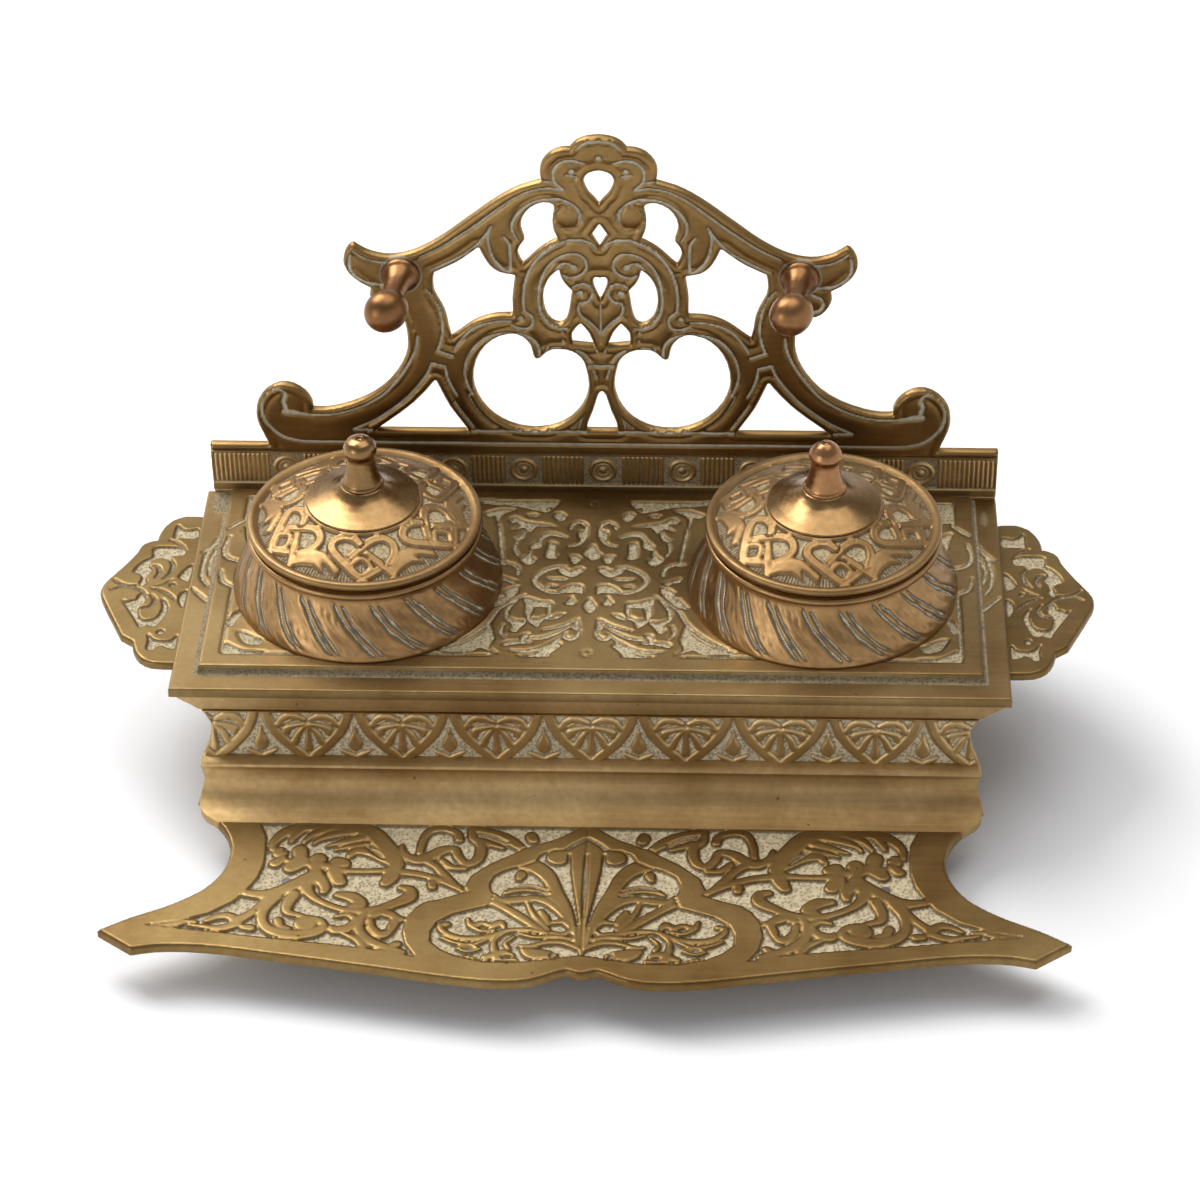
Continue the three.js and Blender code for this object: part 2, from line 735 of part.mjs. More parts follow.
for (const [name, side] of sides) {
  add(`side_plate_${name}`, sidePlate(side), darkBrass);
  add(`handle_${name}`, handle(side), agedBrass);
  add(`peg_${name}`, peg(), turnedBrass, side * pegX + galleryOffsetX, platformBackY, pegZ);
  add(`peg_nut_${name}`, nut(), steel, side * pegX + galleryOffsetX, galleryBackY, pegZ);
  add(`well_${name}`, well(), agedBrass, side * wellX, wellY);
  add(`liner_${name}`, liner(), glass, side * wellX, wellY);
  add(
    `well_screw_${name}`,
    screw(wellScrewRadius, 4.6, 2.4, plateThickness + panelHeight + wellFloor - 1.4),
    steel, side * wellX, wellY, plateBottomZ,
  );

  const lidGroup = new THREE.Group();
  lidGroup.position.set(side * wellX, wellY, 0);
  assembly.add(lidGroup);
  const ceilingZ = lidFieldZ[1] - lidWall;
  const finialMetal = side < 0 ? turnedBrass : coppery;
  add(`lid_${name}`, lid(), agedBrass, 0, 0, 0, lidGroup);
  add(`finial_cone_${name}`, cone(), turnedBrass, 0, 0, 0, lidGroup);
  add(`finial_knob_${name}`, knob(side < 0 ? domedHead : pointedHead), finialMetal, 0, 0, 0, lidGroup);
  add(
    `finial_screw_${name}`,
    screw(screwRadius + 0.2, 4.2, screwHeadHeight, finialScrewReach - ceilingZ),
    steel, 0, 0, ceilingZ, lidGroup,
  );

  const lipScrew = () => screw(screwRadius, screwHeadRadius, screwHeadHeight, castingThickness + 3.9);
  add(`front_screw_${name}`, lipScrew(), steel, side * lipScrewX, frontLipScrewY, lipBottomZ);
  add(`back_screw_${name}`, lipScrew(), steel, side * lipScrewX, backLipScrewY, lipBottomZ);
  add(`side_screw_${name}`, lipScrew(), steel, side * sideLipScrewX, 0, lipBottomZ);
  for (const [end, way] of [['front', -1], ['back', 1]]) {
    add(
      `handle_screw_${name}_${end}`,
      screw(screwRadius, screwHeadRadius, screwHeadHeight, handleThickness + 3.9),
      steel, side * handleScrewX, way * handleScrewY, plateBottomZ - handleThickness,
    );
    const place = way < 0 ? frontFoot : backFoot;
    add(`foot_${name}_${end}`, foot(), agedBrass, side * place.x, place.y, apronBottomZ);
    add(
      `foot_screw_${name}_${end}`,
      screw(screwRadius, screwHeadRadius, screwHeadHeight, 11.5 + castingThickness - 0.9),
      steel, side * place.x, place.y, apronBottomZ - 11.5,
    );
  }
  for (const [place, x] of [['inner', galleryScrewX[0]], ['outer', galleryScrewX[1]]]) {
    add(
      `gallery_screw_${name}_${place}`,
      screw(screwRadius, screwHeadRadius, screwHeadHeight, galleryThickness + castingThickness - 0.4)
        .rotateX(Math.PI / 2),
      steel, side * x + galleryOffsetX, galleryBackY, galleryScrewZ,
    );
  }
}

assembly.position.set(0, -centreY, standHeight);

const inkstand = new THREE.Group();
inkstand.add(assembly);

export default inkstand;
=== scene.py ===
# %% [markdown]
# # A cast brass inkstand
# The inkstand is a desk set in cast brass: a low platform with two ink wells, a pierced
# gallery behind them with two ball pegs for pens, a trough and a wide carved apron in front.
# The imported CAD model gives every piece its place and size. Blender gives each piece its
# rounded cast edges, its carved ornament and its worn, patinated brass.

import math

import bmesh
import bpy
import numpy as np
from mathutils import Matrix, Vector


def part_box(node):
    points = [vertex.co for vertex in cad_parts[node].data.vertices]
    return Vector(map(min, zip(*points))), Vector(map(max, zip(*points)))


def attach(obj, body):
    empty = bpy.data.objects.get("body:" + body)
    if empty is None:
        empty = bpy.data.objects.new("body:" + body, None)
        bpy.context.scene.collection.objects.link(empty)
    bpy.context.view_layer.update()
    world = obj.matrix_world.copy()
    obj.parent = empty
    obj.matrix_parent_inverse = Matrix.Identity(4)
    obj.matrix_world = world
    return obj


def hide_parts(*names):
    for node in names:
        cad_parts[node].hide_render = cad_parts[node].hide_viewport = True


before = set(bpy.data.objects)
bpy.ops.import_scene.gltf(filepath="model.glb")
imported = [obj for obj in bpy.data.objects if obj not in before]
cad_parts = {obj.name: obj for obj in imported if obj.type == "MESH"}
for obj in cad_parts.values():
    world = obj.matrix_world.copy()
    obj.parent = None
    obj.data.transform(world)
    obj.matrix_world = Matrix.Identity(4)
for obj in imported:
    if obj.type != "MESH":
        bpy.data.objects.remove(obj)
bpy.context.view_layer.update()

# %% [markdown]
# ## One set of workshop coordinates
# A brass founder measures in millimetres from the top of the platform's border, in its
# middle. The ornament is easier to draw in those coordinates, so each piece is built in them
# and carried to the frame's metres at the end. The platform plate's own box gives the shift.

# %% Workshop millimetres to the frame's metres
PLATE_THICKNESS = 3.3
plate_low, plate_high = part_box("platform_plate")
datum = Vector((0, (plate_low.y + plate_high.y) / 2, plate_low.z + PLATE_THICKNESS / 1000))
TO_FRAME = Matrix.Translation(datum) @ Matrix.Scale(0.001, 4)
FROM_FRAME = TO_FRAME.inverted()
SIDES = (("left", -1), ("right", 1))
WELL_X, WELL_Y = 75.0, 0.9
print("datum in mm:", [round(1000 * c, 2) for c in datum])

# %% [markdown]
# ## The camera
# The photograph looks down on the desk from in front, about 38 degrees above it and a little
# from the right, with a long lens. A long lens from over a metre away keeps the sides of the
# platform nearly parallel.

# %% Camera
camera = bpy.data.objects.new("camera", bpy.data.cameras.new("camera"))
bpy.context.scene.collection.objects.link(camera)
bpy.context.scene.camera = camera
bpy.context.scene.view_settings.view_transform = "Standard"
camera.data.sensor_width = 36
camera.data.lens = 109.39
CAMERA_AT = Vector((0.04543, -0.91227, 0.79910))
CAMERA_TARGET = Vector((0.00175, 0.04105, 0.05659))
CAMERA_ROLL = math.radians(-0.94)
looking = (CAMERA_TARGET - CAMERA_AT).normalized()
turn = looking.to_track_quat("-Z", "Y").to_matrix().to_4x4()
camera.matrix_world = Matrix.Translation(CAMERA_AT) @ turn @ Matrix.Rotation(CAMERA_ROLL, 4, "Z")
camera.data.clip_start, camera.data.clip_end = 0.05, 60
print("camera distance in mm:", round(1000 * (CAMERA_TARGET - CAMERA_AT).length))

# %% [markdown]
# ## Lamps
# The object stands on a white table in a white studio. One big soft lamp high on the left and
# a little behind lights the top faces and the left flanks, and throws the soft shadow to the
# right. A weaker one overhead draws the thin highlights along the rounded edges. Two small
# ones on the left, behind and in front, keep the gallery and the trough from going black.

# %% Lamps
LAMPS_FACE = Vector((0, 0, 0.05))


def soft_lamp(name, place, width, power):
    """A square lamp at place that faces the middle of the object."""
    lamp = bpy.data.lights.new(name, "AREA")
    lamp.shape = "SQUARE"
    lamp.size = width
    lamp.energy = power
    holder = bpy.data.objects.new(name, lamp)
    bpy.context.scene.collection.objects.link(holder)
    facing = (LAMPS_FACE - Vector(place)).to_track_quat("-Z", "Y").to_matrix().to_4x4()
    holder.matrix_world = Matrix.Translation(place) @ facing
    print(f"{name}: {width} m wide, {power} W")


soft_lamp("key_lamp", (-0.74, 0.66, 1.38), 0.9, 21)
soft_lamp("top_lamp", (0.30, 0.35, 1.7), 1.3, 12)
soft_lamp("back_left_lamp", (-1.3, 1.25, 1.15), 0.8, 5)
soft_lamp("front_lamp", (-1.15, -1.15, 0.55), 0.7, 4.1)

# %% [markdown]
# ## The studio
# The camera sees plain white around the object. The brass mirrors a room that is as white at
# the horizon and dimmer above, so that rounded edges and relief show. The light that falls on
# the object from all round is an even grey, weak enough to leave the lamps their shadows.

# %% World
MIRRORED_SKY = (1.0, 0.32)
LIGHT_ALL_ROUND = (0.38, 0.34)
world = bpy.data.worlds.new("studio")
bpy.context.scene.world = world
world.use_nodes = True
sky = world.node_tree
sky.nodes["Background"].inputs["Strength"].default_value = 1
direction = sky.nodes.new("ShaderNodeTexCoord")
height = sky.nodes.new("ShaderNodeSeparateXYZ")
sky.links.new(direction.outputs["Generated"], height.inputs[0])


def sky_bands(horizon, above):
    """Grey light that falls off from the horizon to the sky above."""
    ramp = sky.nodes.new("ShaderNodeValToRGB")
    ramp.color_ramp.elements[0].position = 0.12
    ramp.color_ramp.elements[0].color = (horizon, horizon, horizon, 1)
    ramp.color_ramp.elements[1].position = 0.55
    ramp.color_ramp.elements[1].color = (above, above, above * 1.03, 1)
    sky.links.new(height.outputs["Z"], ramp.inputs["Fac"])
    return ramp.outputs["Color"]


def feed(tree, socket, value):
    """Links a socket to another one, or sets it to a number or a colour."""
    if isinstance(value, bpy.types.NodeSocket):
        tree.links.new(value, socket)
    elif isinstance(value, (int, float)):
        socket.default_value = value
    else:
        socket.default_value = (*value, 1)


def mixed(tree, factor, first, second):
    """The first colour where the factor is 0, the second where it is 1."""
    node = tree.nodes.new("ShaderNodeMix")
    node.data_type = "RGBA"
    for socket, value in zip((node.inputs[0], *node.inputs[6:8]), (factor, first, second)):
        feed(tree, socket, value)
    return node.outputs[2]


ray = sky.nodes.new("ShaderNodeLightPath").outputs
studio = mixed(sky, ray["Is Glossy Ray"], sky_bands(*LIGHT_ALL_ROUND), sky_bands(*MIRRORED_SKY))
seen = mixed(sky, ray["Is Camera Ray"], studio, (1, 1, 1))
sky.links.new(seen, sky.nodes["Background"].inputs["Color"])
print("studio: white for the camera,", MIRRORED_SKY, "mirrored,", LIGHT_ALL_ROUND, "as light all round")

# %% [markdown]
# ## Floor
# The table is white paper. Near the object it takes light and shadow as paper does. Far away,
# where the lamps no longer reach, it fades to the plain white of the studio behind it, for the
# camera and for what the brass and the glass reflect, so that low views have a white ground.

# %% Floor
def ranged(tree, value, low, high, to_low, to_high):
    """A number socket remapped from low..high to to_low..to_high, and clamped."""
    node = tree.nodes.new("ShaderNodeMapRange")
    for socket, number in zip(node.inputs[1:5], (low, high, to_low, to_high)):
        socket.default_value = number
    tree.links.new(value, node.inputs[0])
    return node.outputs[0]


def counted(tree, operation, first, second):
    """Two number sockets put together by a Math node."""
    node = tree.nodes.new("ShaderNodeMath")
    node.operation = operation
    tree.links.new(first, node.inputs[0])
    tree.links.new(second, node.inputs[1])
    return node.outputs[0]


FLOOR_REACH = 12
FADE_FROM, FADE_TO = 0.7, 2.0
floor_bm = bmesh.new()
bmesh.ops.create_grid(floor_bm, x_segments=8, y_segments=8, size=FLOOR_REACH)
floor_mesh = bpy.data.meshes.new("floor")
floor_bm.to_mesh(floor_mesh)
floor_bm.free()
floor = bpy.data.objects.new("floor", floor_mesh)
bpy.context.scene.collection.objects.link(floor)
paper = bpy.data.materials.new("white_table")
paper.use_nodes = True
table = paper.node_tree
matte = table.nodes["Principled BSDF"]
matte.inputs["Base Color"].default_value = (0.93, 0.93, 0.935, 1)
matte.inputs["Roughness"].default_value = 0.9
matte.inputs["Specular IOR Level"].default_value = 0.1
distance = table.nodes.new("ShaderNodeVectorMath")
distance.operation = "LENGTH"
table.links.new(table.nodes.new("ShaderNodeTexCoord").outputs["Object"], distance.inputs[0])
rays = table.nodes.new("ShaderNodeLightPath").outputs
looks = counted(table, "MAXIMUM", rays["Is Camera Ray"], rays["Is Glossy Ray"])
looks = counted(table, "MAXIMUM", looks, rays["Is Transmission Ray"])
far = ranged(table, distance.outputs["Value"], FADE_FROM, FADE_TO, 0, 1)
white = table.nodes.new("ShaderNodeEmission")
fade = table.nodes.new("ShaderNodeMixShader")
table.links.new(counted(table, "MULTIPLY", far, looks), fade.inputs[0])
table.links.new(matte.outputs[0], fade.inputs[1])
table.links.new(white.outputs[0], fade.inputs[2])
table.links.new(fade.outputs[0], table.nodes["Material Output"].inputs["Surface"])
floor_mesh.materials.append(paper)
print("floor: white paper, plain white from", FADE_TO, "m away")

# %% [markdown]
# ## Brass
# Old cast brass is not one colour. The raised parts are rubbed bright by hands and cloths,
# the flats carry brown toning in soft clouds, and the recesses keep a pale, chalky grey-green
# deposit of old polish. Each carved mesh carries a number called relief at every vertex, 1 on
# the worn tops and 0 in the ground. The material mixes worn metal and chalky ground by it, and
# paints shade in dark brown on the walls between them. Noises of three sizes vary the tone, and
# a still finer one roughens the surface.

# %% Noises, dots and bumps
def clouds(tree, where, scale, detail=3.0, stretch=(1, 1, 1)):
    """Noise on the object's own coordinates, with about scale blobs in a metre."""
    placing = tree.nodes.new("ShaderNodeMapping")
    placing.inputs["Scale"].default_value = stretch
    tree.links.new(where, placing.inputs["Vector"])
    noise = tree.nodes.new("ShaderNodeTexNoise")
    noise.inputs["Scale"].default_value = scale
    noise.inputs["Detail"].default_value = detail
    tree.links.new(placing.outputs[0], noise.inputs["Vector"])
    return noise.outputs["Fac"]


def dots(tree, where, scale):
    """Distance from the nearest of some strewn dots, with about scale of them in a metre."""
    cells = tree.nodes.new("ShaderNodeTexVoronoi")
    cells.inputs["Scale"].default_value = scale
    tree.links.new(where, cells.inputs["Vector"])
    return cells.outputs["Distance"]


def bumped(tree, height, depth, strength, under=None):
    """A bump of that depth in mm, laid over the bump under it."""
    bump = tree.nodes.new("ShaderNodeBump")
    bump.inputs["Distance"].default_value = depth / 1000
    feed(tree, bump.inputs["Strength"], strength)
    tree.links.new(height, bump.inputs["Height"])
    if under:
        tree.links.new(under, bump.inputs["Normal"])
    return bump.outputs[0]


def colour(red, green, blue):
    """A display colour of 0..255 as the linear numbers that nodes use."""
    return tuple((c / 255 / 12.92) if c < 10.3 else ((c / 255 + 0.055) / 1.055) ** 2.4
                 for c in (red, green, blue))


def dimmed(tint, part):
    """A colour at a part of its brightness."""
    return tuple(part * c for c in tint)

# %% [markdown]
# ## Metal and deposit
# The tone of the metal is one function, because plain and carved pieces share it. The deposit
# comes on top where a piece is carved: the relief number says where the metal is worn clean,
# where painted shade darkens the foot of a motif and where the pale ground lies, which is
# mostly punched. On the wells the same dark brown also marks the bark streaks.

# %% Brass material
TONING, MOTTLE, SCRATCHES, GRAIN = 26, 420, 260, 2600
CASTING_PITS, PUNCH_MARKS = 105, 950
WORN = (0.42, 0.6)
# Relief values over which the painted shade at the foot of motifs comes in; on the wells it also colours the
# bark streaks.
FOOT = (0.03, 0.2)


def metal_tone(tree, where, mottle, bright, brown, flaws):
    """Brass that goes from bright to brown, with hair scratches and small casting pits."""
    toning = ranged(tree, clouds(tree, where, TONING), 0.34, 0.66, 0.08, 0.85)
    scratches = ranged(tree, clouds(tree, where, SCRATCHES, 2, (0.12, 3, 3)), 0.35, 0.65, 0, 0.16)
    tone = mixed(tree, toning, bright, brown)
    tone = mixed(tree, ranged(tree, mottle, 0, 1, 0, 0.3), tone, brown)
    tone = mixed(tree, scratches, tone, bright)
    if flaws:
        holes = ranged(tree, dots(tree, where, CASTING_PITS), 0.035, 0.065, flaws, 0)
        tone = mixed(tree, holes, tone, dimmed(brown, 0.3))
    return tone


def brass(name, bright, brown, rough, ground=None, punched=0.0, outline=0.85, flaws=0.0, metal=1.0):
    """Worn brass. ground is the colour of the deposit in the recesses of carved pieces,
    punched the depth in mm of the dots that a punch left in it, outline the strength of the
    painted shade at the foot of raised motifs, which on the wells also darkens the bark streaks,
    and flaws that of the casting pits."""
    material = bpy.data.materials.new(name)
    material.use_nodes = True
    tree = material.node_tree
    shader = tree.nodes["Principled BSDF"]
    where = tree.nodes.new("ShaderNodeTexCoord").outputs["Object"]
    mottle = ranged(tree, clouds(tree, where, MOTTLE, 4), 0.3, 0.7, 0, 1)
    tone = metal_tone(tree, where, mottle, bright, brown, flaws)
    roughness = ranged(tree, mottle, 0, 1, rough - 0.04, rough + 0.06)
    surface = bumped(tree, clouds(tree, where, GRAIN, 2), 0.1, 0.25 if ground else 0.05)
    if ground:
        mark = tree.nodes.new("ShaderNodeAttribute")
        mark.attribute_name = "relief"
        worn = ranged(tree, mark.outputs["Fac"], *WORN, 0, 1)
        foot = ranged(tree, mark.outputs["Fac"], *FOOT, 0, outline)
        deposit_shade_and_streaks = mixed(tree, mottle, ground, dimmed(ground, 0.7))
        if punched:
            marks = dots(tree, where, PUNCH_MARKS)
            deposit_shade_and_streaks = mixed(tree, ranged(tree, marks, 0.22, 0.56, 0.9, 0), deposit_shade_and_streaks, dimmed(ground, 0.42))
            surface = bumped(tree, ranged(tree, marks, 0.22, 0.56, 0, 1), punched,
                             ranged(tree, worn, 0, 1, 0.6, 0), surface)
        # Painted shade: the walls between worn tops and ground turn dark brown, and on the wells so do the
        # bark streaks.
        deposit_shade_and_streaks = mixed(tree, foot, deposit_shade_and_streaks, dimmed(brown, 0.5))
        tone = mixed(tree, worn, deposit_shade_and_streaks, tone)
        tree.links.new(ranged(tree, worn, 0, 1, 0.12, metal), shader.inputs["Metallic"])
        dull = tree.nodes.new("ShaderNodeMix")
        for place, value in ((0, worn), (2, 0.7), (3, roughness)):
            feed(tree, dull.inputs[place], value)
        roughness = dull.outputs[0]
    else:
        shader.inputs["Metallic"].default_value = metal
    tree.links.new(tone, shader.inputs["Base Color"])
    tree.links.new(roughness, shader.inputs["Roughness"])
    tree.links.new(surface, shader.inputs["Normal"])
    print("material:", name)
    return material

# %% [markdown]
# ## The alloys and finishes
# The castings are the same yellow brass, toned more or less where hands and cloths reach less.
# The trough is bright and the gallery is browner. The frieze and the gallery's band get a
# lighter copy, painted light for upright faces that the lamps light too little. The turned
# pieces are polished, and the pegs and the right knob are of a redder alloy.

# %% Materials
carved_brass = brass("carved_brass", colour(156, 132, 90), colour(104, 78, 43), 0.42,
                     ground=colour(204, 187, 149), punched=0.3, outline=0.55, flaws=0.7)
apron_brass = brass("apron_brass", colour(148, 124, 80), colour(94, 68, 35), 0.40,
                    ground=colour(204, 187, 151), punched=0.35, outline=0.65, flaws=0.7)
wall_brass = brass("wall_brass", colour(208, 180, 130), colour(146, 115, 70), 0.54, flaws=0.7)
# A lighter copy of the brass: painted light for the upright frieze and band, which the lamps light too
# little.
front_brass_painted_light = brass("front_brass_painted_light", colour(216, 188, 138), colour(158, 126, 78), 0.42,
                    ground=colour(230, 216, 182), punched=0.3, outline=0.6, flaws=0.6)
well_brass = brass("well_brass", colour(184, 147, 100), colour(104, 75, 43), 0.34,
                   ground=colour(226, 217, 186), outline=0.85)
lid_brass = brass("lid_brass", colour(170, 139, 95), colour(118, 88, 53), 0.45,
                  ground=colour(200, 179, 137), punched=0.2, outline=0.8)
plain_brass = brass("plain_brass", colour(160, 134, 90), colour(122, 93, 53), 0.42)
gallery_brass = brass("gallery_brass", colour(160, 130, 82), colour(110, 82, 45), 0.39,
                      ground=colour(220, 213, 188), outline=0.4)
turned_brass = brass("turned_brass", colour(158, 127, 86), colour(116, 86, 52), 0.25)
peg_brass = brass("peg_brass", colour(150, 110, 73), colour(118, 82, 51), 0.34)
coppery_brass = brass("coppery_brass", colour(176, 132, 92), colour(142, 100, 64), 0.28)
steel = brass("dull_steel", colour(120, 116, 110), colour(92, 88, 84), 0.45)

glass = brass("pressed_glass", colour(214, 226, 220), colour(196, 212, 206), 0.08, metal=0.0)
glass.node_tree.nodes["Principled BSDF"].inputs["Transmission Weight"].default_value = 0.75

# %% [markdown]
# ## Making pieces
# Round pieces are spun from half a section, as on a lathe. Flat castings start from a merged
# copy of their CAD node, which keeps their outline, and get rounded edges. Every piece is
# built in workshop millimetres, closed, and handed to its body.

# %% Helpers for pieces
def hand_over(bm, name, body, stands_for, material, slot, sharp=35.0):
    """Turns a mesh in workshop millimetres into a finished piece that rides on its body."""
    bmesh.ops.recalc_face_normals(bm, faces=bm.faces)
    bm.transform(TO_FRAME)
    mesh = bpy.data.meshes.new(name)
    bm.to_mesh(mesh)
    bm.free()
    mesh.polygons.foreach_set("use_smooth", [True] * len(mesh.polygons))
    mesh.set_sharp_from_angle(angle=math.radians(sharp))
    mesh.materials.append(material)
    piece = bpy.data.objects.new(name, mesh)
    bpy.context.scene.collection.objects.link(piece)
    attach(piece, body)
    for node in stands_for:
        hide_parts(node)
    print(f"{name}: {sum(len(f.vertices) - 2 for f in mesh.polygons)} triangles")


def turned(section, steps):
    """A closed lathe shape. section is its half outline, (radius, height) in mm, axis to axis."""
    bm = bmesh.new()
    corners = [bm.verts.new((radius, 0, height)) for radius, height in section]
    lines = [bm.edges.new(pair) for pair in zip(corners, corners[1:])]
    bmesh.ops.spin(bm, geom=corners + lines, cent=(0, 0, 0), axis=(0, 0, 1),
                   angle=2 * math.pi, steps=steps, use_merge=True)
    bmesh.ops.remove_doubles(bm, verts=bm.verts, dist=0.002)
    return bm


def rounded(section, radius, points=4):
    """The same half outline with every inner corner rounded off."""
    result = [section[0]]
    for before, corner, after in zip(section, section[1:], section[2:]):
        here = Vector(corner)
        to_before, to_after = Vector(before) - here, Vector(after) - here
        cut = min(radius, 0.45 * to_before.length, 0.45 * to_after.length)
        start = here + to_before.normalized() * cut
        end = here + to_after.normalized() * cut
        for i in range(points + 1):
            t = i / points
            result.append(tuple(start * (1 - t) ** 2 + here * 2 * t * (1 - t) + end * t * t))
    return result + [section[-1]]


def casting_copy(node):
    """A merged copy of a CAD node in workshop mm, its flat faces joined again."""
    bm = bmesh.new()
    bm.from_mesh(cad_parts[node].data)
    bm.transform(FROM_FRAME)
    bmesh.ops.remove_doubles(bm, verts=bm.verts, dist=0.003)
    bmesh.ops.dissolve_limit(bm, angle_limit=math.radians(0.3), verts=bm.verts, edges=bm.edges)
    return bm

# %% [markdown]
# ## Carving by distance
# The ornament was carved in the founder's pattern with gouges: stems and leaves stand up to
# the level of the frame, and the ground between them is sunk about a millimetre and punched.
# Such relief is a height field. Each stem is a smooth line with a width at every point, each
# patch of ground a closed outline. The distance from a point of the surface to those lines
# tells how high it stands. That keeps each motif editable by a few points.

# %% Smooth lines and distances to them
FAR = 3.0


def smooth_line(points, closed=False, spacing=0.9):
    """A Catmull-Rom line through the points, which may carry a width as their third number."""
    p = np.array(points, float)
    if closed:
        ring = np.vstack([p[-1], p, p[0], p[1]])
    else:
        ring = np.vstack([2 * p[0] - p[1], p, 2 * p[-1] - p[-2]])
    out = []
    for a, b, c, d in zip(ring, ring[1:], ring[2:], ring[3:]):
        steps = max(1, int(math.ceil(np.hypot(*(c - b)[:2]) / spacing)))
        t = (np.arange(steps) / steps)[:, None]
        out.append(0.5 * (2 * b + (c - a) * t + (2 * a - 5 * b + 4 * c - d) * t ** 2
                          + (3 * b - a - 3 * c + d) * t ** 3))
    if not closed:
        out.append(p[-1:])
    return np.vstack(out)


def to_segments(x, y, starts, ends):
    """Distance and place along, from points to the nearest of some segments."""
    best = np.full(x.shape, 1e9)
    share = np.zeros(x.shape)
    which = np.zeros(x.shape, int)
    for i, ((ax, ay), (bx, by)) in enumerate(zip(starts, ends)):
        dx, dy = bx - ax, by - ay
        t = np.clip(((x - ax) * dx + (y - ay) * dy) / max(dx * dx + dy * dy, 1e-12), 0, 1)
        far = np.hypot(x - ax - t * dx, y - ay - t * dy)
        nearer = far < best
        best = np.where(nearer, far, best)
        share = np.where(nearer, t, share)
        which = np.where(nearer, i, which)
    return best, share, which


def near(x, y, line, margin):
    """Which points lie within margin of a line's box."""
    low, high = line[:, :2].min(0) - margin, line[:, :2].max(0) + margin
    return (x > low[0]) & (x < high[0]) & (y > low[1]) & (y < high[1])


def stems(x, y, lines):
    """Signed distance to the nearest edge of any stem, negative inside one."""
    field = np.full(x.shape, FAR)
    for points in lines:
        line = smooth_line(points)
        close = near(x, y, line, FAR + line[:, 2].max())
        if not close.any():
            continue
        px, py = x[close], y[close]
        value = np.full(px.shape, FAR)
        for a, b in zip(line, line[1:]):
            dx, dy = b[:2] - a[:2]
            t = np.clip(((px - a[0]) * dx + (py - a[1]) * dy) / max(dx * dx + dy * dy, 1e-9), 0, 1)
            far = np.hypot(px - a[0] - t * dx, py - a[1] - t * dy) - (a[2] + t * (b[2] - a[2]))
            value = np.minimum(value, far)
        field[close] = np.minimum(field[close], value)
    return field

# %% [markdown]
# ## Patches
# For a closed outline the carving also has to know on which side of it a point lies. A point
# is inside when a level line from it crosses the outline an odd number of times.

# %% Distances to patches
def patch(x, y, points, rounded_corners=True):
    """Signed distance to a closed outline, negative inside it."""
    line = smooth_line(points, closed=True) if rounded_corners else np.array(points, float)
    field = np.full(x.shape, FAR)
    close = near(x, y, line, FAR)
    px, py = x[close], y[close]
    ends = np.roll(line, -1, axis=0)
    far, _, _ = to_segments(px, py, line, ends)
    inside = np.zeros(px.shape, bool)
    for (ax, ay), (bx, by) in zip(line, ends):
        crosses = (ay > py) != (by > py)
        with np.errstate(divide="ignore", invalid="ignore"):
            inside ^= crosses & (px < (bx - ax) * (py - ay) / (by - ay) + ax)
    field[close] = np.where(inside, -far, far)
    return field


def patches(x, y, outlines, rounded_corners=True):
    """Signed distance to the nearest of several closed outlines."""
    field = np.full(x.shape, FAR)
    for points in outlines:
        field = np.minimum(field, patch(x, y, points, rounded_corners))
    return field

# %% [markdown]
# ## Walls, crowns and edges
# A gouged wall is not upright and a stem is not flat, so heights are eased. Three small
# functions turn a distance into a height for the flat castings and the lids. The ornament is
# much the same on both sides, so shapes can be mirrored.

# %% From distance to height
def mirrored(shapes, middle=0.0):
    """Each shape and its mirror image about x = middle."""
    return shapes + [[(2 * middle - p[0], *p[1:]) for p in shape] for shape in shapes]


def step(field, width=0.5):
    """1 inside a shape, 0 outside, with a soft wall of that width centred on its edge."""
    t = np.clip(0.5 - field / width, 0, 1)
    return t * t * (3 - 2 * t)


def crowned(field, width=0.55, crown=1.3, flat=0.8):
    """Height 0..1 of a raised motif: a wall up to flat, then rounded up to its middle."""
    rise = 1 - (1 - np.clip(-field / crown, 0, 1)) ** 2
    return step(field, width) * (flat + (1 - flat) * rise)


def dome_edge(depth, radius):
    """How far a rounded edge falls away at that depth inside the outline."""
    inner = np.clip(radius - depth, 0, radius)
    return radius - np.sqrt(radius * radius - inner * inner)

# %% [markdown]
# ## A carved slab
# A flat casting with ornament is built as a fine grid in its own plane, cut to the outline of
# its CAD node, with the vertices along the edge pulled onto that outline. The carving moves
# each vertex down from the top face. The edge is then drawn down to the casting's thickness
# and closed underneath.

# %% Carved slabs from the outline of a CAD node
def outline_of(node, plane):
    """The edges that bound the face of a CAD node in a plane, as 2-D starts and ends."""
    bm = casting_copy(node)
    bm.transform(plane.inverted())
    pairs = []
    for edge in bm.edges:
        if all(abs(v.co.z) < 0.01 for v in edge.verts):
            flat = [all(abs(v.co.z) < 0.01 for v in f.verts) for f in edge.link_faces]
            if flat.count(True) == 1:
                pairs.append([v.co.xy[:] for v in edge.verts])
    bm.free()
    pairs = np.array(pairs)
    return pairs[:, 0], pairs[:, 1]


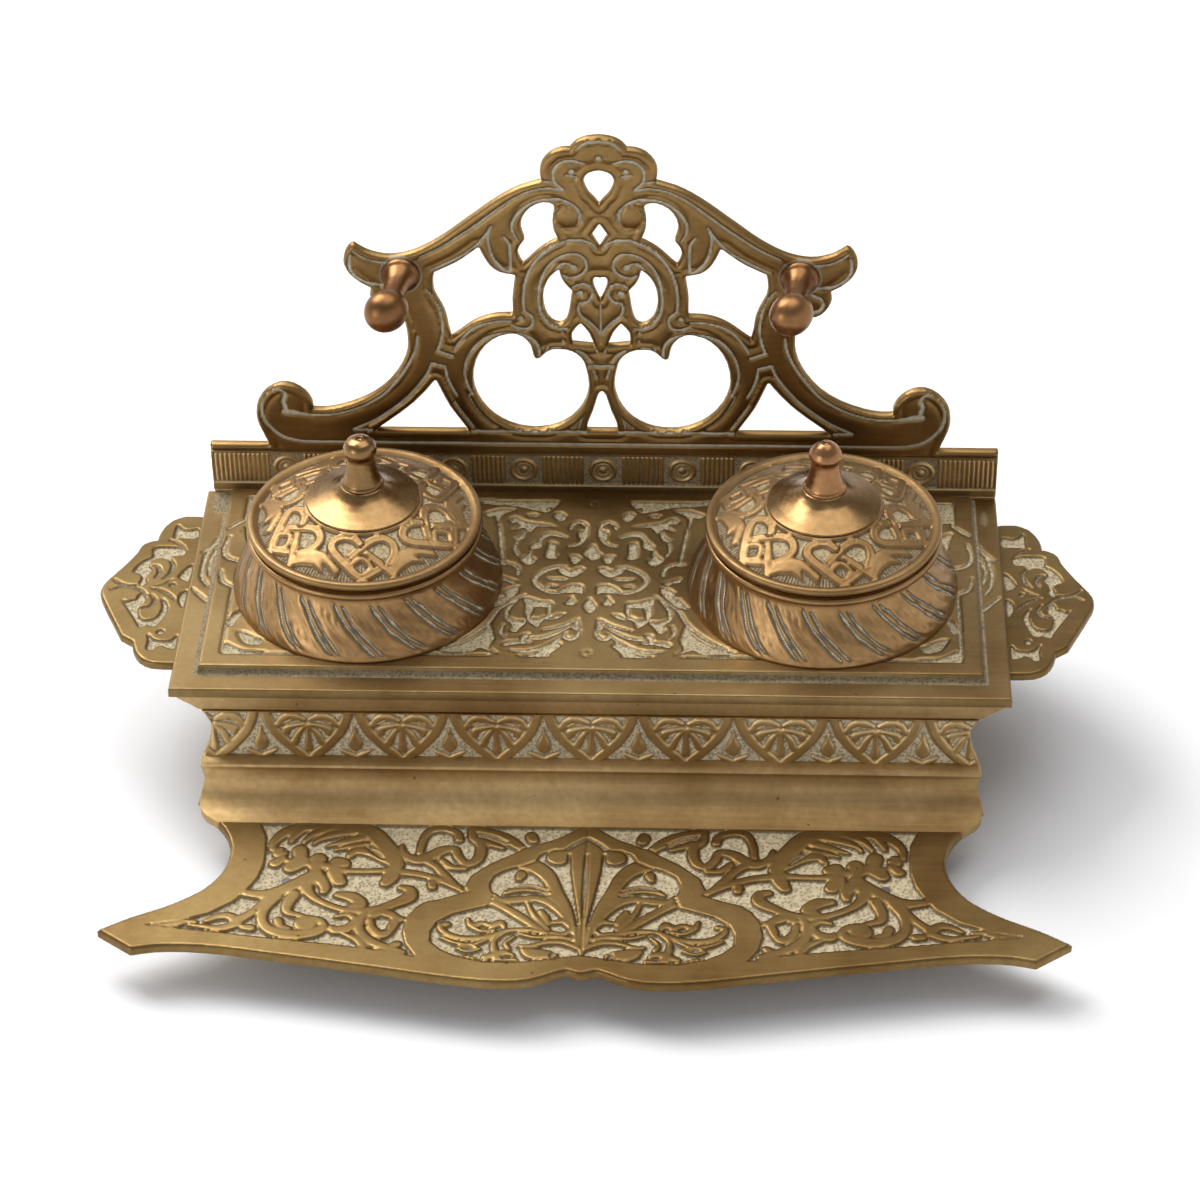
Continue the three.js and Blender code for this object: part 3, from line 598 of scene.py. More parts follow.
def signed_outline(x, y, starts, ends):
    """Signed distance to an outline with holes, negative in the metal."""
    low, high = np.minimum(starts, ends), np.maximum(starts, ends)
    result = np.full(x.shape, 9.0)
    inside = np.zeros(x.shape, bool)
    for y0 in np.arange(y.min() - 1, y.max() + 1, 4.0):
        band = (y >= y0) & (y < y0 + 4.0)
        if not band.any():
            continue
        crossing = (low[:, 1] <= y0 + 4.0) & (high[:, 1] >= y0)
        bx, by = x[band], y[band]
        hit = np.zeros(bx.shape, bool)
        for (ax, ay), (cx, cy) in zip(starts[crossing], ends[crossing]):
            if ay != cy:
                hit ^= ((ay > by) != (cy > by)) & (bx < (cx - ax) * (by - ay) / (cy - ay) + ax)
        inside[band] = hit
        for x0 in np.arange(bx.min() - 1, bx.max() + 1, 16.0):
            cell = band & (x >= x0) & (x < x0 + 16.0)
            close = ((low[:, 0] < x0 + 22) & (high[:, 0] > x0 - 6)
                     & (low[:, 1] < y0 + 10) & (high[:, 1] > y0 - 6))
            if cell.any() and close.any():
                far, _, _ = to_segments(x[cell], y[cell], starts[close], ends[close])
                result[cell] = np.minimum(9, far)
    return np.where(inside, -result, result)

# %% [markdown]
# ## Planes, grid lines and the underside
# Every slab lies in a plane of its own: flat for the platform, upright for the gallery. Its
# grid is even, or finer beside the edges that show a sharp wall. The rim is drawn down to the
# casting's thickness and closed, so the piece is one skin.

# %% Parts of a slab
def face_plane(origin, across, up):
    """The matrix of a plane through origin, whose x runs across and y up."""
    x, y = Vector(across).normalized(), Vector(up).normalized()
    z = x.cross(y)
    turned_to = Matrix((x, y, z)).transposed().to_4x4()
    return Matrix.Translation(origin) @ turned_to


def grid_points(bm):
    """Coordinates of a mesh's vertices as an array."""
    return np.array([v.co[:] for v in bm.verts])


def graded(low, high, cell, fine, fine_at, reach):
    """Grid lines from low to high, cell apart, and fine apart within reach of some places."""
    lines = [low]
    while lines[-1] < high - 0.6 * fine:
        close = min(abs(lines[-1] + 0.5 * fine - place) for place in fine_at) < reach
        lines.append(lines[-1] + (fine if close else cell))
    lines[-1] = high
    return np.array(lines)


def close_below(bm, plane, thickness):
    """Draws the open edge of a carved face down to the casting's thickness and closes it."""
    mark = bm.verts.layers.float["relief"]
    rim = [e for e in bm.edges if e.is_boundary]
    drawn = bmesh.ops.extrude_edge_only(bm, edges=rim)["geom"]
    for v in drawn:
        if isinstance(v, bmesh.types.BMVert):
            v.co.z = -thickness
            v[mark] = 1.0
    lower = [e for e in drawn if isinstance(e, bmesh.types.BMEdge) and e.is_boundary]
    bmesh.ops.triangle_fill(bm, use_beauty=False, use_dissolve=False, edges=lower)
    bm.transform(plane)
    return bm

# %% [markdown]
# ## Grid, snap, carve
# Vertices outside the outline go, and those along its edge are pulled onto it. Then the
# carving sets the height and the wear of every vertex from its place and its distance to the
# edge.

# %% Building a slab
def carved_slab(plane, box, cell, outline, carve, thickness, lines=None):
    """A bmesh in workshop mm: a grid over box in plane, cut to outline, carved and closed.

    carve(x, y, edge) gives the height, 0 at the face and negative below it, and the relief.
    lines gives the grid's columns and rows where they aren't even."""
    if box is None:
        low, high = np.min(outline[0], axis=0) - 0.2, np.max(outline[0], axis=0) + 0.2
        box = ((low[0], high[0]), (low[1], high[1]))
    (x0, x1), (y0, y1) = box
    bm = bmesh.new()
    place = Matrix.Translation(((x0 + x1) / 2, (y0 + y1) / 2, 0)) @ Matrix.Diagonal(
        ((x1 - x0) / 2, (y1 - y0) / 2, 1, 1))
    across, along = round((x1 - x0) / cell), round((y1 - y0) / cell)
    if lines is not None:
        across, along = len(lines[0]) - 1, len(lines[1]) - 1
    bmesh.ops.create_grid(bm, x_segments=across, y_segments=along, size=1, matrix=place)
    if lines is not None:
        for v in bm.verts:
            v.co.x = lines[0][round((v.co.x - x0) / (x1 - x0) * across)]
            v.co.y = lines[1][round((v.co.y - y0) / (y1 - y0) * along)]
    points = grid_points(bm)
    if outline is not None:
        edge = signed_outline(points[:, 0], points[:, 1], *outline)
        outside = [v for v, far in zip(bm.verts, edge) if far > 0.35 * cell]
        bmesh.ops.delete(bm, geom=outside, context="VERTS")
        rim = [v for v in bm.verts if any(e.is_boundary for e in v.link_edges)]
        spots = np.array([v.co[:] for v in rim])
        far, share, which = to_segments(spots[:, 0], spots[:, 1], *outline)
        starts, ends = outline
        snapped = starts[which] + (ends[which] - starts[which]) * share[:, None]
        for v, spot, gap in zip(rim, snapped, far):
            if gap < 1.5 * cell:
                v.co.x, v.co.y = spot
        points = grid_points(bm)
        edge = signed_outline(points[:, 0], points[:, 1], *outline)
    else:
        edge = -np.minimum(np.minimum(points[:, 0] - x0, x1 - points[:, 0]),
                           np.minimum(points[:, 1] - y0, y1 - points[:, 1]))
    height, relief = carve(points[:, 0], points[:, 1], np.maximum(-edge, 0))
    mark = bm.verts.layers.float.new("relief")
    for v, z, worn in zip(bm.verts, height, relief):
        v.co.z = z
        v[mark] = worn
    return close_below(bm, plane, thickness)

# %% [markdown]
# ## The platform
# One casting: a plain border, a low step up to a panel, and on the panel a sunk field of
# leafy strapwork that crosses in the middle. The wells stand on the field and hide most of
# it. Here the metal is what stays and the ground is what was cut away, so the list below
# holds the outlines of the sunk patches and the thin lines cut between the leaves. The right
# half is drawn and mirrored about the middle of the pattern, which sits a little left.

# %% Platform ornament
PANEL_TOP = 2.9
PATTERN_MIDDLE = -1.4
# Half width, front and back of the panel and of the sunk field on it
PANEL = (127, -46, 52)
FIELD = (119.5, -38.5, 46.5)
arabesque_ground = [
    [(11.4, 46.2), (24, 46.2), (36.8, 46), (36.8, 44.4), (28.6, 43.5), (22.9, 42.4), (19.3, 41), (15, 39.9),
     (13.2, 41), (12.1, 43.1)],
    [(10.4, 39.9), (12.5, 38.1), (10, 34.9), (7.9, 37.1)],
    [(1.4, 29.2), (3.6, 28.9), (2.7, 24.2)],
    [(2.9, 15.3), (5.9, 15.9), (5.4, 13), (4.3, 11), (2.5, 13.1)],
    [(0.7, 8.2), (2.9, 9.3), (5.7, 7.5), (7.5, 9.7), (9.3, 8.2), (8.6, 6), (5, 3.9), (2.2, 6)],
    [(1, -5.4), (1, -1.1), (3.6, 0), (6.4, -1.1), (8.9, -4), (5.7, -4.7), (2.5, -4.4)],
    [(4.3, -6.1), (5.7, -8.7), (6.6, -10.4), (4.6, -11.3), (2.9, -10.1), (3.9, -8.3)],
    [(11.4, 31.4), (14.3, 32.8), (17.1, 33.5), (20.7, 34.2), (22.9, 35.3), (25.4, 37.1), (27.1, 35.3),
     (26.4, 33.5), (24.3, 33.9), (23.9, 31.7), (26.4, 28.9), (24.6, 29.9), (22.1, 31), (20, 28.5),
     (18.2, 31.4), (15, 31.7)],
    [(16.1, 24.6), (19.3, 21), (18.6, 18.9), (15.7, 20.3)],
    [(10.7, 22.1), (13.2, 22.8), (13.9, 18), (13.9, 14.6), (12.5, 13.7), (10.4, 14.2), (10.9, 18)],
    [(18.9, 18.9), (20.5, 15.8), (22.5, 13.5), (19.6, 10.3), (17.1, 12.8), (18.8, 14.9)],
    [(25.4, 41), (30.7, 41.4), (35.7, 38.9), (34.3, 37.1), (32.1, 37.4), (31.4, 33.1), (30.4, 31.7),
     (30.7, 36), (28.6, 39.2)],
    [(18.2, 38.6), (21.4, 38.2), (20, 37), (17.5, 37.1)],
    [(22.9, 1), (25.7, 2.8), (28.6, 3.9), (28.2, 1.7), (25.7, 1), (24.3, -0.4)],
    [(22.1, -1.1), (25.4, -2.5), (27.6, -5.4), (28.8, -8.3), (31.4, -13), (27.6, -11.5), (25, -8.6),
     (22.5, -5)],
    [(10.7, -10.2), (15, -9), (20, -7.2), (19.3, -12), (19.3, -15.4), (18.2, -19.7), (15, -22.9),
     (13.9, -20.4), (12.9, -18.8), (9.3, -18.6), (6.1, -15.8), (9.3, -16.3), (11.2, -17.6)],
    [(18.6, -19.7), (20.5, -23.2), (22.1, -25.8), (23.8, -24.7), (23.2, -21.5), (25, -18), (22, -19.5)],
    [(2, -18.1), (3.7, -23.3), (1.3, -23.7)],
    [(17.1, -27), (19.6, -26.7), (20.4, -29.9), (25, -30.6), (25.6, -33), (21.4, -31.9), (17.1, -31.6),
     (16.2, -30.8), (18.9, -29.5)],
    [(6.8, -32.2), (9.3, -30.1), (12.9, -34), (15.7, -36.7), (21, -38.3), (11.1, -38.3), (10.4, -37),
     (9.1, -35.1)],
    [(30.7, -21.1), (32.1, -24.7), (35.7, -29), (40, -32.2), (47, -35.5), (40, -36.2), (35.7, -36.1),
     (33, -34.2), (27, -37.2), (30, -33.6), (28.8, -28.5)],
    [(28, -38.3), (36, -37.4), (46, -37.2), (60, -37.8), (60, -38.4), (40, -38.4)],
]
arabesque_islands = [
    [(12, -12.2), (16.8, -12.2), (17.5, -18.2), (14.5, -18.3), (11.9, -16.4)],
    [(26.6, -4.2), (28.4, -4.5), (28.6, -6.8), (27.4, -7.8), (26.2, -6.2)],
    [(13, 42.6), (14.5, 42.8), (14.9, 41.3), (13.5, 40.6)],
]

# %% [markdown]
# ## Cut lines of the platform
# Thin lines part the leaves where no ground lies between them, and a few more run over the
# border and the frame of the field. Two patches of ground stand alone in the middle of the
# pattern, and more ground shows beyond the wells.

# %% Cut lines and outer ground
arabesque_cuts = [
    [(6.2, 30.5, 0.4), (5.6, 33, 0.4), (3.6, 34.2, 0.5), (1.5, 33, 0.5), (0.9, 29.5, 0.6), (1.6, 25.5, 0.8),
     (3.4, 22, 0.5), (6.5, 20.6, 0.3)],
    [(7.5, 25.3, 0.2), (10, 26.7, 0.6), (13.6, 27.4, 0.9), (15.7, 25.3, 0.7), (16.4, 23.1, 0.4)],
    [(21.4, 28.5, 0.3), (22.9, 24.9, 0.8), (24.6, 24.6, 0.4)],
    [(24, 23, 0.3), (24.6, 19, 0.4), (23.4, 15.5, 0.3)],
    [(30.4, 31.7, 0.3), (29.3, 21.7, 0.45), (27.9, 10.3, 0.3)],
    [(22.7, 5, 0.4), (23.2, 8.6, 0.5), (26, 10.9, 0.45), (30, 11.2, 0.3)],
    [(9.3, 9.4, 0.5), (12.9, 7.8, 0.7), (15.7, 5.3, 0.7), (17.1, 2.2, 0.7), (16.2, -0.8, 0.7),
     (12.9, -4, 0.5), (8.9, -5, 0.4)],
    [(6.4, 2.4, 0.3), (9.3, 2.6, 0.6), (12.9, 2.8, 0.2)],
    [(9.5, -1.3, 0.2), (12, -0.9, 0.5), (13.2, -1.9, 0.2)],
    [(2.9, -19, 0.2), (6.4, -21.9, 0.5), (13.2, -24.7, 0.2)],
    [(3.6, -21.9, 0.2), (8.6, -26.1, 0.5), (12.9, -28.6, 0.6), (17.3, -29, 0.4)],
    [(5.7, -26.9, 0.2), (11.4, -32.6, 0.6), (17.1, -35.4, 0.6), (23.2, -35.4, 0.2)],
    [(1.2, -24.8, 0.4), (2.1, -27.9, 0.6), (4.3, -29.2, 0.7), (6.1, -27.6, 0.5), (5.6, -26.2, 0.3)],
    [(20, -6.1, 0.3), (27.4, -13, 0.45), (31.2, -21.1, 0.5), (37.1, -28.3, 0.5), (44, -33.6, 0.3)],
    [(22.1, -8.3, 0.2), (25.2, -14, 0.6), (25.2, -18.3, 0.5), (23.2, -21, 0.3)],
    [(26, -22, 0.2), (26.8, -26, 0.4), (25, -29, 0.2)],
]
arabesque_middle = [
    [(-1.4, 22), (0.4, 18.1), (1.9, 16), (0.9, 14.6), (-1.2, 13), (-2.7, 14.9), (-4.3, 17.1)],
    [(-1.4, -7.2), (-0.4, -9), (0.9, -12.6), (-1.0, -15.4), (-2.9, -12.6), (-2.9, -10.1)],
]
border_cuts = [
    [(128, 27, 0.3), (130.6, 20, 0.5), (131.6, 12, 0.5), (131, 5, 0.5), (128.8, 0.6, 0.3)],
    [(128, 20.5, 0.3), (129.6, 13.5, 0.5), (128.8, 6.5, 0.3)],
    [(133.6, -1.2, 0.3), (130, -5.5, 0.5), (128, -8, 0.3)],
    [(132.6, 19, 0.3), (130.4, 22, 0.5), (128.4, 24, 0.3)],
]
frame_cuts = [
    [(124.9, 28.5, 0.3), (122.6, 30.8, 0.5), (119.5, 34, 0.4)],
    [(123.9, 24, 0.3), (125, 17, 0.6), (123.4, 12.5, 0.6), (119.5, 10.6, 0.5)],
    [(124.8, 5.5, 0.3), (123.4, -0.5, 0.6), (119.6, -3.6, 0.5)],
    [(119.6, -3, 0.4), (119.6, -20, 0.35), (119.5, -37, 0.35)],
    [(119, -38.4, 0.3), (100, -38.4, 0.3), (60, -38.4, 0.3)],
    [(119.6, 34, 0.4), (119.6, 46, 0.4)],
    [(119, 46.4, 0.4), (80, 46.4, 0.4), (36, 46.4, 0.4)],
]
corner_ground = [
    [(119.3, -37), (118.6, -33), (116, -34.6), (112, -36.8), (105, -37.5), (105, -38.3), (119, -38.3)],
    [(115.5, -27), (112, -28), (108.5, -30.5), (106.5, -31), (108, -34.3), (112.5, -33), (114.5, -30)],
    [(118.9, -20.5), (116.5, -16.3), (114.6, -17), (116, -20), (117, -24), (118.8, -24)],
    [(118.5, 36), (112, 38), (104, 43), (96, 46), (118.8, 46)],
    [(118.6, 8), (115.5, 6), (114.5, 1), (116.5, -2.5), (118.8, -3)],
    [(118.9, 30), (115, 27.5), (114, 21), (116.5, 17), (117.4, 22)],
]

# %% [markdown]
# ## Carving the platform
# The ground is sunk 0.9 mm and the thin cuts between the leaves about half a millimetre. Old
# polish also lies in the gutter at the foot of the panel's wall, and in a smear near each back
# corner. A small ring closes the pattern at the back and another at the front. The grid is
# fine where the rim and the panel's wall are.

# %% Platform
PLATE_HALF = (135, 54)
CELL, FINE_CELL, FINE_REACH = 0.66, 0.22, 1.0
WALLS_X = (-134.7, -126.5, 126.5, 134.7)
WALLS_Y = (-53.7, -45.5, 51.5, 53.7)
RINGS_Y = (44.3, -36.4)
# Place, reach in x and in y, and strength
corner_smears = [(-129.5, 49, 5, 15, 0.66), (130.5, 42, 3, 9, 0.54)]


def inside_box(x, y, half_width, front, back):
    """Distance inside a rectangle that has its middle at x = 0, negative outside it."""
    return np.minimum.reduce([half_width - abs(x), y - front, back - y])


def carve_platform(x, y, edge):
    """Height below the panel's top, and relief."""
    panel = inside_box(x, y, *PANEL)
    field = inside_box(x, y, *FIELD)
    wall = np.clip((panel - 0.25) / 0.75, 0, 1)
    height = -PANEL_TOP * (1 - wall * wall * (3 - 2 * wall) * 0.88
                           - 0.12 * np.clip(panel / 1.4, 0, 1))
    ground = patches(x, y, mirrored(arabesque_ground, PATTERN_MIDDLE) + arabesque_middle
                     + mirrored(corner_ground))
    islands = patches(x, y, mirrored(arabesque_islands, PATTERN_MIDDLE), False)
    ground = np.maximum.reduce([ground, -islands, -field])
    cuts = stems(x, y, mirrored(arabesque_cuts, PATTERN_MIDDLE)
                 + mirrored(border_cuts + frame_cuts))
    cut = step(cuts - 0.15, 0.5)
    sunk = step(ground, 0.5)
    for ring_y in RINGS_Y:
        away = np.hypot(x - PATTERN_MIDDLE, y - ring_y)
        cut = np.maximum(cut, 0.7 * step(abs(away - 1.5) - 0.25, 0.5))
    soft = 0.16 * (1 - np.clip(np.maximum(ground, cuts) / 1.4, 0, 1)) ** 2
    gutter = 0.95 * np.exp(-((panel + 0.5) / 0.6) ** 2)
    # Painted shade: the upright wall of the panel is coloured dark brown.
    painted_wall_shade = 0.72 * np.exp(-((panel - 0.4) / 0.45) ** 2)
    height = height - np.maximum(0.9 * sunk, 0.55 * cut)
    height = height - np.where(field > 0, soft, 0) - dome_edge(edge, 0.7)
    smears = [strength * np.exp(-((x - at_x) / wide) ** 2 - ((y - at_y) / deep) ** 2)
              for at_x, at_y, wide, deep, strength in corner_smears]
    return height, 1 - np.clip(np.maximum.reduce([sunk, cut, gutter, painted_wall_shade] + smears), 0, 1)


top_plane = face_plane((0, 0, PANEL_TOP), (1, 0, 0), (0, 1, 0))
plate_box = [(-half, half) for half in PLATE_HALF]
platform_lines = [graded(*ends, CELL, FINE_CELL, walls, FINE_REACH)
                  for ends, walls in zip(plate_box, (WALLS_X, WALLS_Y))]
hand_over(carved_slab(top_plane, plate_box, CELL, None, carve_platform,
                      PANEL_TOP + PLATE_THICKNESS, platform_lines),
          "cast_platform", "base", ["platform_plate"], carved_brass, "aged_brass", sharp=80)

# %% [markdown]
# ## The apron
# The apron is the wide tray in front. Its border is plain and rubbed bright at the front
# edge. In the middle a flat band forms an ogee arch with two round lobes, around a palmette
# that fans out from the front. Left and right, vines with berries and leaves cross a punched
# ground. Here the stems are the drawn shapes, each a line with its half width at every point.

# %% Apron ornament
APRON_TOP = -42.4
APRON_THICKNESS = 3.0
APRON_BACK = -69.9
apron_field = [
    (0, -129.8), (-3.7, -130.5), (-12, -132.3), (-20.3, -133.5), (-31, -133.3), (-38.7, -131),
    (-45, -131.2), (-51.8, -131), (-60.6, -128.7), (-76, -126.3), (-95, -124), (-115, -121.3),
    (-126, -119.9), (-137, -118.6), (-128, -116.8), (-118, -113), (-110.5, -107), (-107, -101.5),
    (-104.3, -96), (-103, -90), (-102.9, -84), (-103.6, -76), (-105.8, -70.3), (0, -70.3),
]
ogee_outside = [
    (0, -66), (-3.2, -70.3), (-10, -75.5), (-20, -80.4), (-30.3, -87.5), (-36.6, -93.5),
    (-38.4, -99.2), (-37.4, -101.3), (-45.3, -104.6), (-50, -106), (-52.9, -108.6), (-55.7, -113.3),
    (-56.6, -120), (-55.2, -125.8), (-51.8, -131.2), (-48, -136), (0, -136),
]
ogee_inside = [
    (0, -75.2), (-6, -80.6), (-10.5, -80.8), (-14.6, -83.2), (-16, -86.2), (-20.3, -88.7),
    (-25.3, -90.8), (-28.7, -93.3), (-30, -96.7), (-29.8, -99.5), (-28.5, -102.3), (-29.4, -105.2),
    (-30.4, -107.8), (-34.5, -109.2), (-41, -111.7), (-45.8, -115.4), (-47.4, -119.6),
    (-47, -124.2), (-44, -127.5), (-38.7, -130.6), (-31, -132.8), (-20.3, -133), (-12, -131.8),
    (-3.7, -130), (0, -129.4),
]

# %% [markdown]
# ## The palmette
# A fan of leaves grows from the middle of the front edge. The broad centre leaf comes first,
# then the leaves beside it, then the curls and buds that fill the two lobes. The cuts are
# midribs and thin lines in the leaves.

# %% Palmette
palmette = [
    [(0, -129.4, 0.7), (0, -120, 1.2), (0, -112, 1.8), (0, -100, 3.5), (0, -88, 5.1), (0, -82, 5.3),
     (0, -77, 3.4)],
    [(-1.4, -126, 0.7), (-3.8, -112, 1.4), (-9, -100, 2.1), (-12, -93.3, 2.7), (-15.5, -89.5, 3.0),
     (-20, -87, 3)],
    [(-9.4, -84.6, 3.6), (-8.2, -82, 3.0)],
    [(-3.9, -114.5, 0.8), (-7.5, -107, 1.4), (-12, -101.5, 1.8), (-17, -99.1, 1.8), (-22, -99.7, 1.5),
     (-25.2, -101.6, 0.8)],
    [(-20.5, -92.5, 1.8), (-21, -94.5, 1.2)],
    [(-3.6, -117.5, 0.7), (-7, -110.8, 1.1), (-11.5, -105.6, 1.5), (-16.5, -103.7, 1.7),
     (-21.5, -104.6, 1.8), (-26, -105, 1.4), (-29, -102.6, 1.2)],
    [(-30.4, -104.6, 1.6), (-25, -108.2, 1.6), (-20, -112.2, 1.7), (-15, -116.6, 1.4), (-10.8, -120, 0.9)],
    [(-17.8, -105.8, 0.8), (-16.2, -110.2, 1.0), (-13.6, -114.4, 1.1), (-10.8, -117.8, 0.9)],
    [(-13.4, -109.8, 1.2), (-11.9, -112.4, 1.4), (-10.9, -115.4, 1.0)],
    [(-9, -114.8, 1.0), (-6, -114.4, 1.3), (-3.9, -117.3, 0.9), (-5.6, -119.9, 0.9), (-9.5, -119.6, 0.9)],
    [(-18.2, -127.4, 1.0), (-15.5, -129, 2.4), (-11.5, -129.6, 2.4), (-8.4, -129.4, 1.2)],
    [(-0.8, -126.6, 0.9), (-5.6, -123.9, 1.2), (-11, -123.9, 1.1), (-16, -125.6, 0.9), (-19.4, -125.6, 0.6)],
    [(-2.6, -122.4, 0.8), (-8.5, -121.2, 1.0), (-14.5, -121.6, 0.9), (-19.5, -120.2, 0.7)],
    [(-11, -119.8, 0.9), (-18, -118.3, 1.0), (-24, -119.0, 1.0), (-29, -121.5, 1.1), (-35, -122.6, 1.2),
     (-40, -121.8, 1.2), (-43.6, -119.4, 1.2), (-44.6, -116.8, 1.1), (-42.4, -116.1, 1.1)],
    [(-24, -119.2, 0.7), (-27.2, -122.8, 0.9), (-27.2, -127, 1.2), (-25.8, -132, 1.6)],
    [(-29, -122.5, 0.6), (-34, -125.2, 0.8), (-39.5, -124.6, 0.8), (-44, -122.4, 0.5)],
    [(-36.2, -113.6, 0.7), (-34.8, -116.7, 1.3), (-31.5, -115.5, 1.1), (-28.6, -116.6, 1.3),
     (-25.8, -115.2, 1.4), (-24.6, -117.4, 0.8)],
    [(-34.4, -117.4, 1.0), (-31.5, -119.2, 0.8), (-27.8, -118.6, 0.7)],
    [(-38.8, -127.2, 0.4), (-35.4, -127, 2.1), (-31.6, -127.2, 0.5)],
    [(-29.8, -131, 1.3), (-24.5, -128.8, 1.5), (-21.4, -129.6, 0.8)],
    [(-24, -133, 1.2), (-20.5, -132, 1.0)],
    [(-38.5, -131.4, 1.0), (-35, -131.2, 0.8), (-32.5, -132.6, 1.0)],
    [(-21.4, -121.4, 0.7), (-23.8, -124.2, 0.8), (-22.8, -126.8, 0.9)],
]
palmette_cuts = [
    [(0, -83, 0.3), (0, -96, 0.55), (0, -112, 0.25)],
    [(-5.7, -83, 0.25), (-4.9, -96, 0.3), (-1.6, -116, 0.2)],
    [(-0.3, -75.4, 0.3), (-3.4, -77.6, 0.4), (-6.3, -80.4, 0.3)],
    [(-13.7, -83, 0.3), (-13.2, -86.3, 0.5), (-10.2, -88.3, 0.4), (-6.4, -88, 0.2)],
    [(-25.4, -98, 0.2), (-22, -99, 0.4), (-17.4, -98.6, 0.4), (-12, -100.6, 0.3)],
    [(-19.8, -102.6, 0.2), (-15.4, -101.6, 0.4), (-11.4, -102.4, 0.3)],
    [(-37, -127.1, 0.2), (-35.2, -127, 0.7), (-33.4, -127.1, 0.2)],
    [(-6.6, -132.2, 0.3), (-9.2, -130.4, 0.4), (-8.8, -128.6, 0.4), (-6.6, -127.8, 0.3)],
]

# %% [markdown]
# ## The vines
# A vine starts at the outer side of the field, runs along its back and comes down beside the
# arch. From it grow feathery leaves and a bunch of round berries. Long curls fill the pointed
# wing, and short lines stand for single leaves and buds.

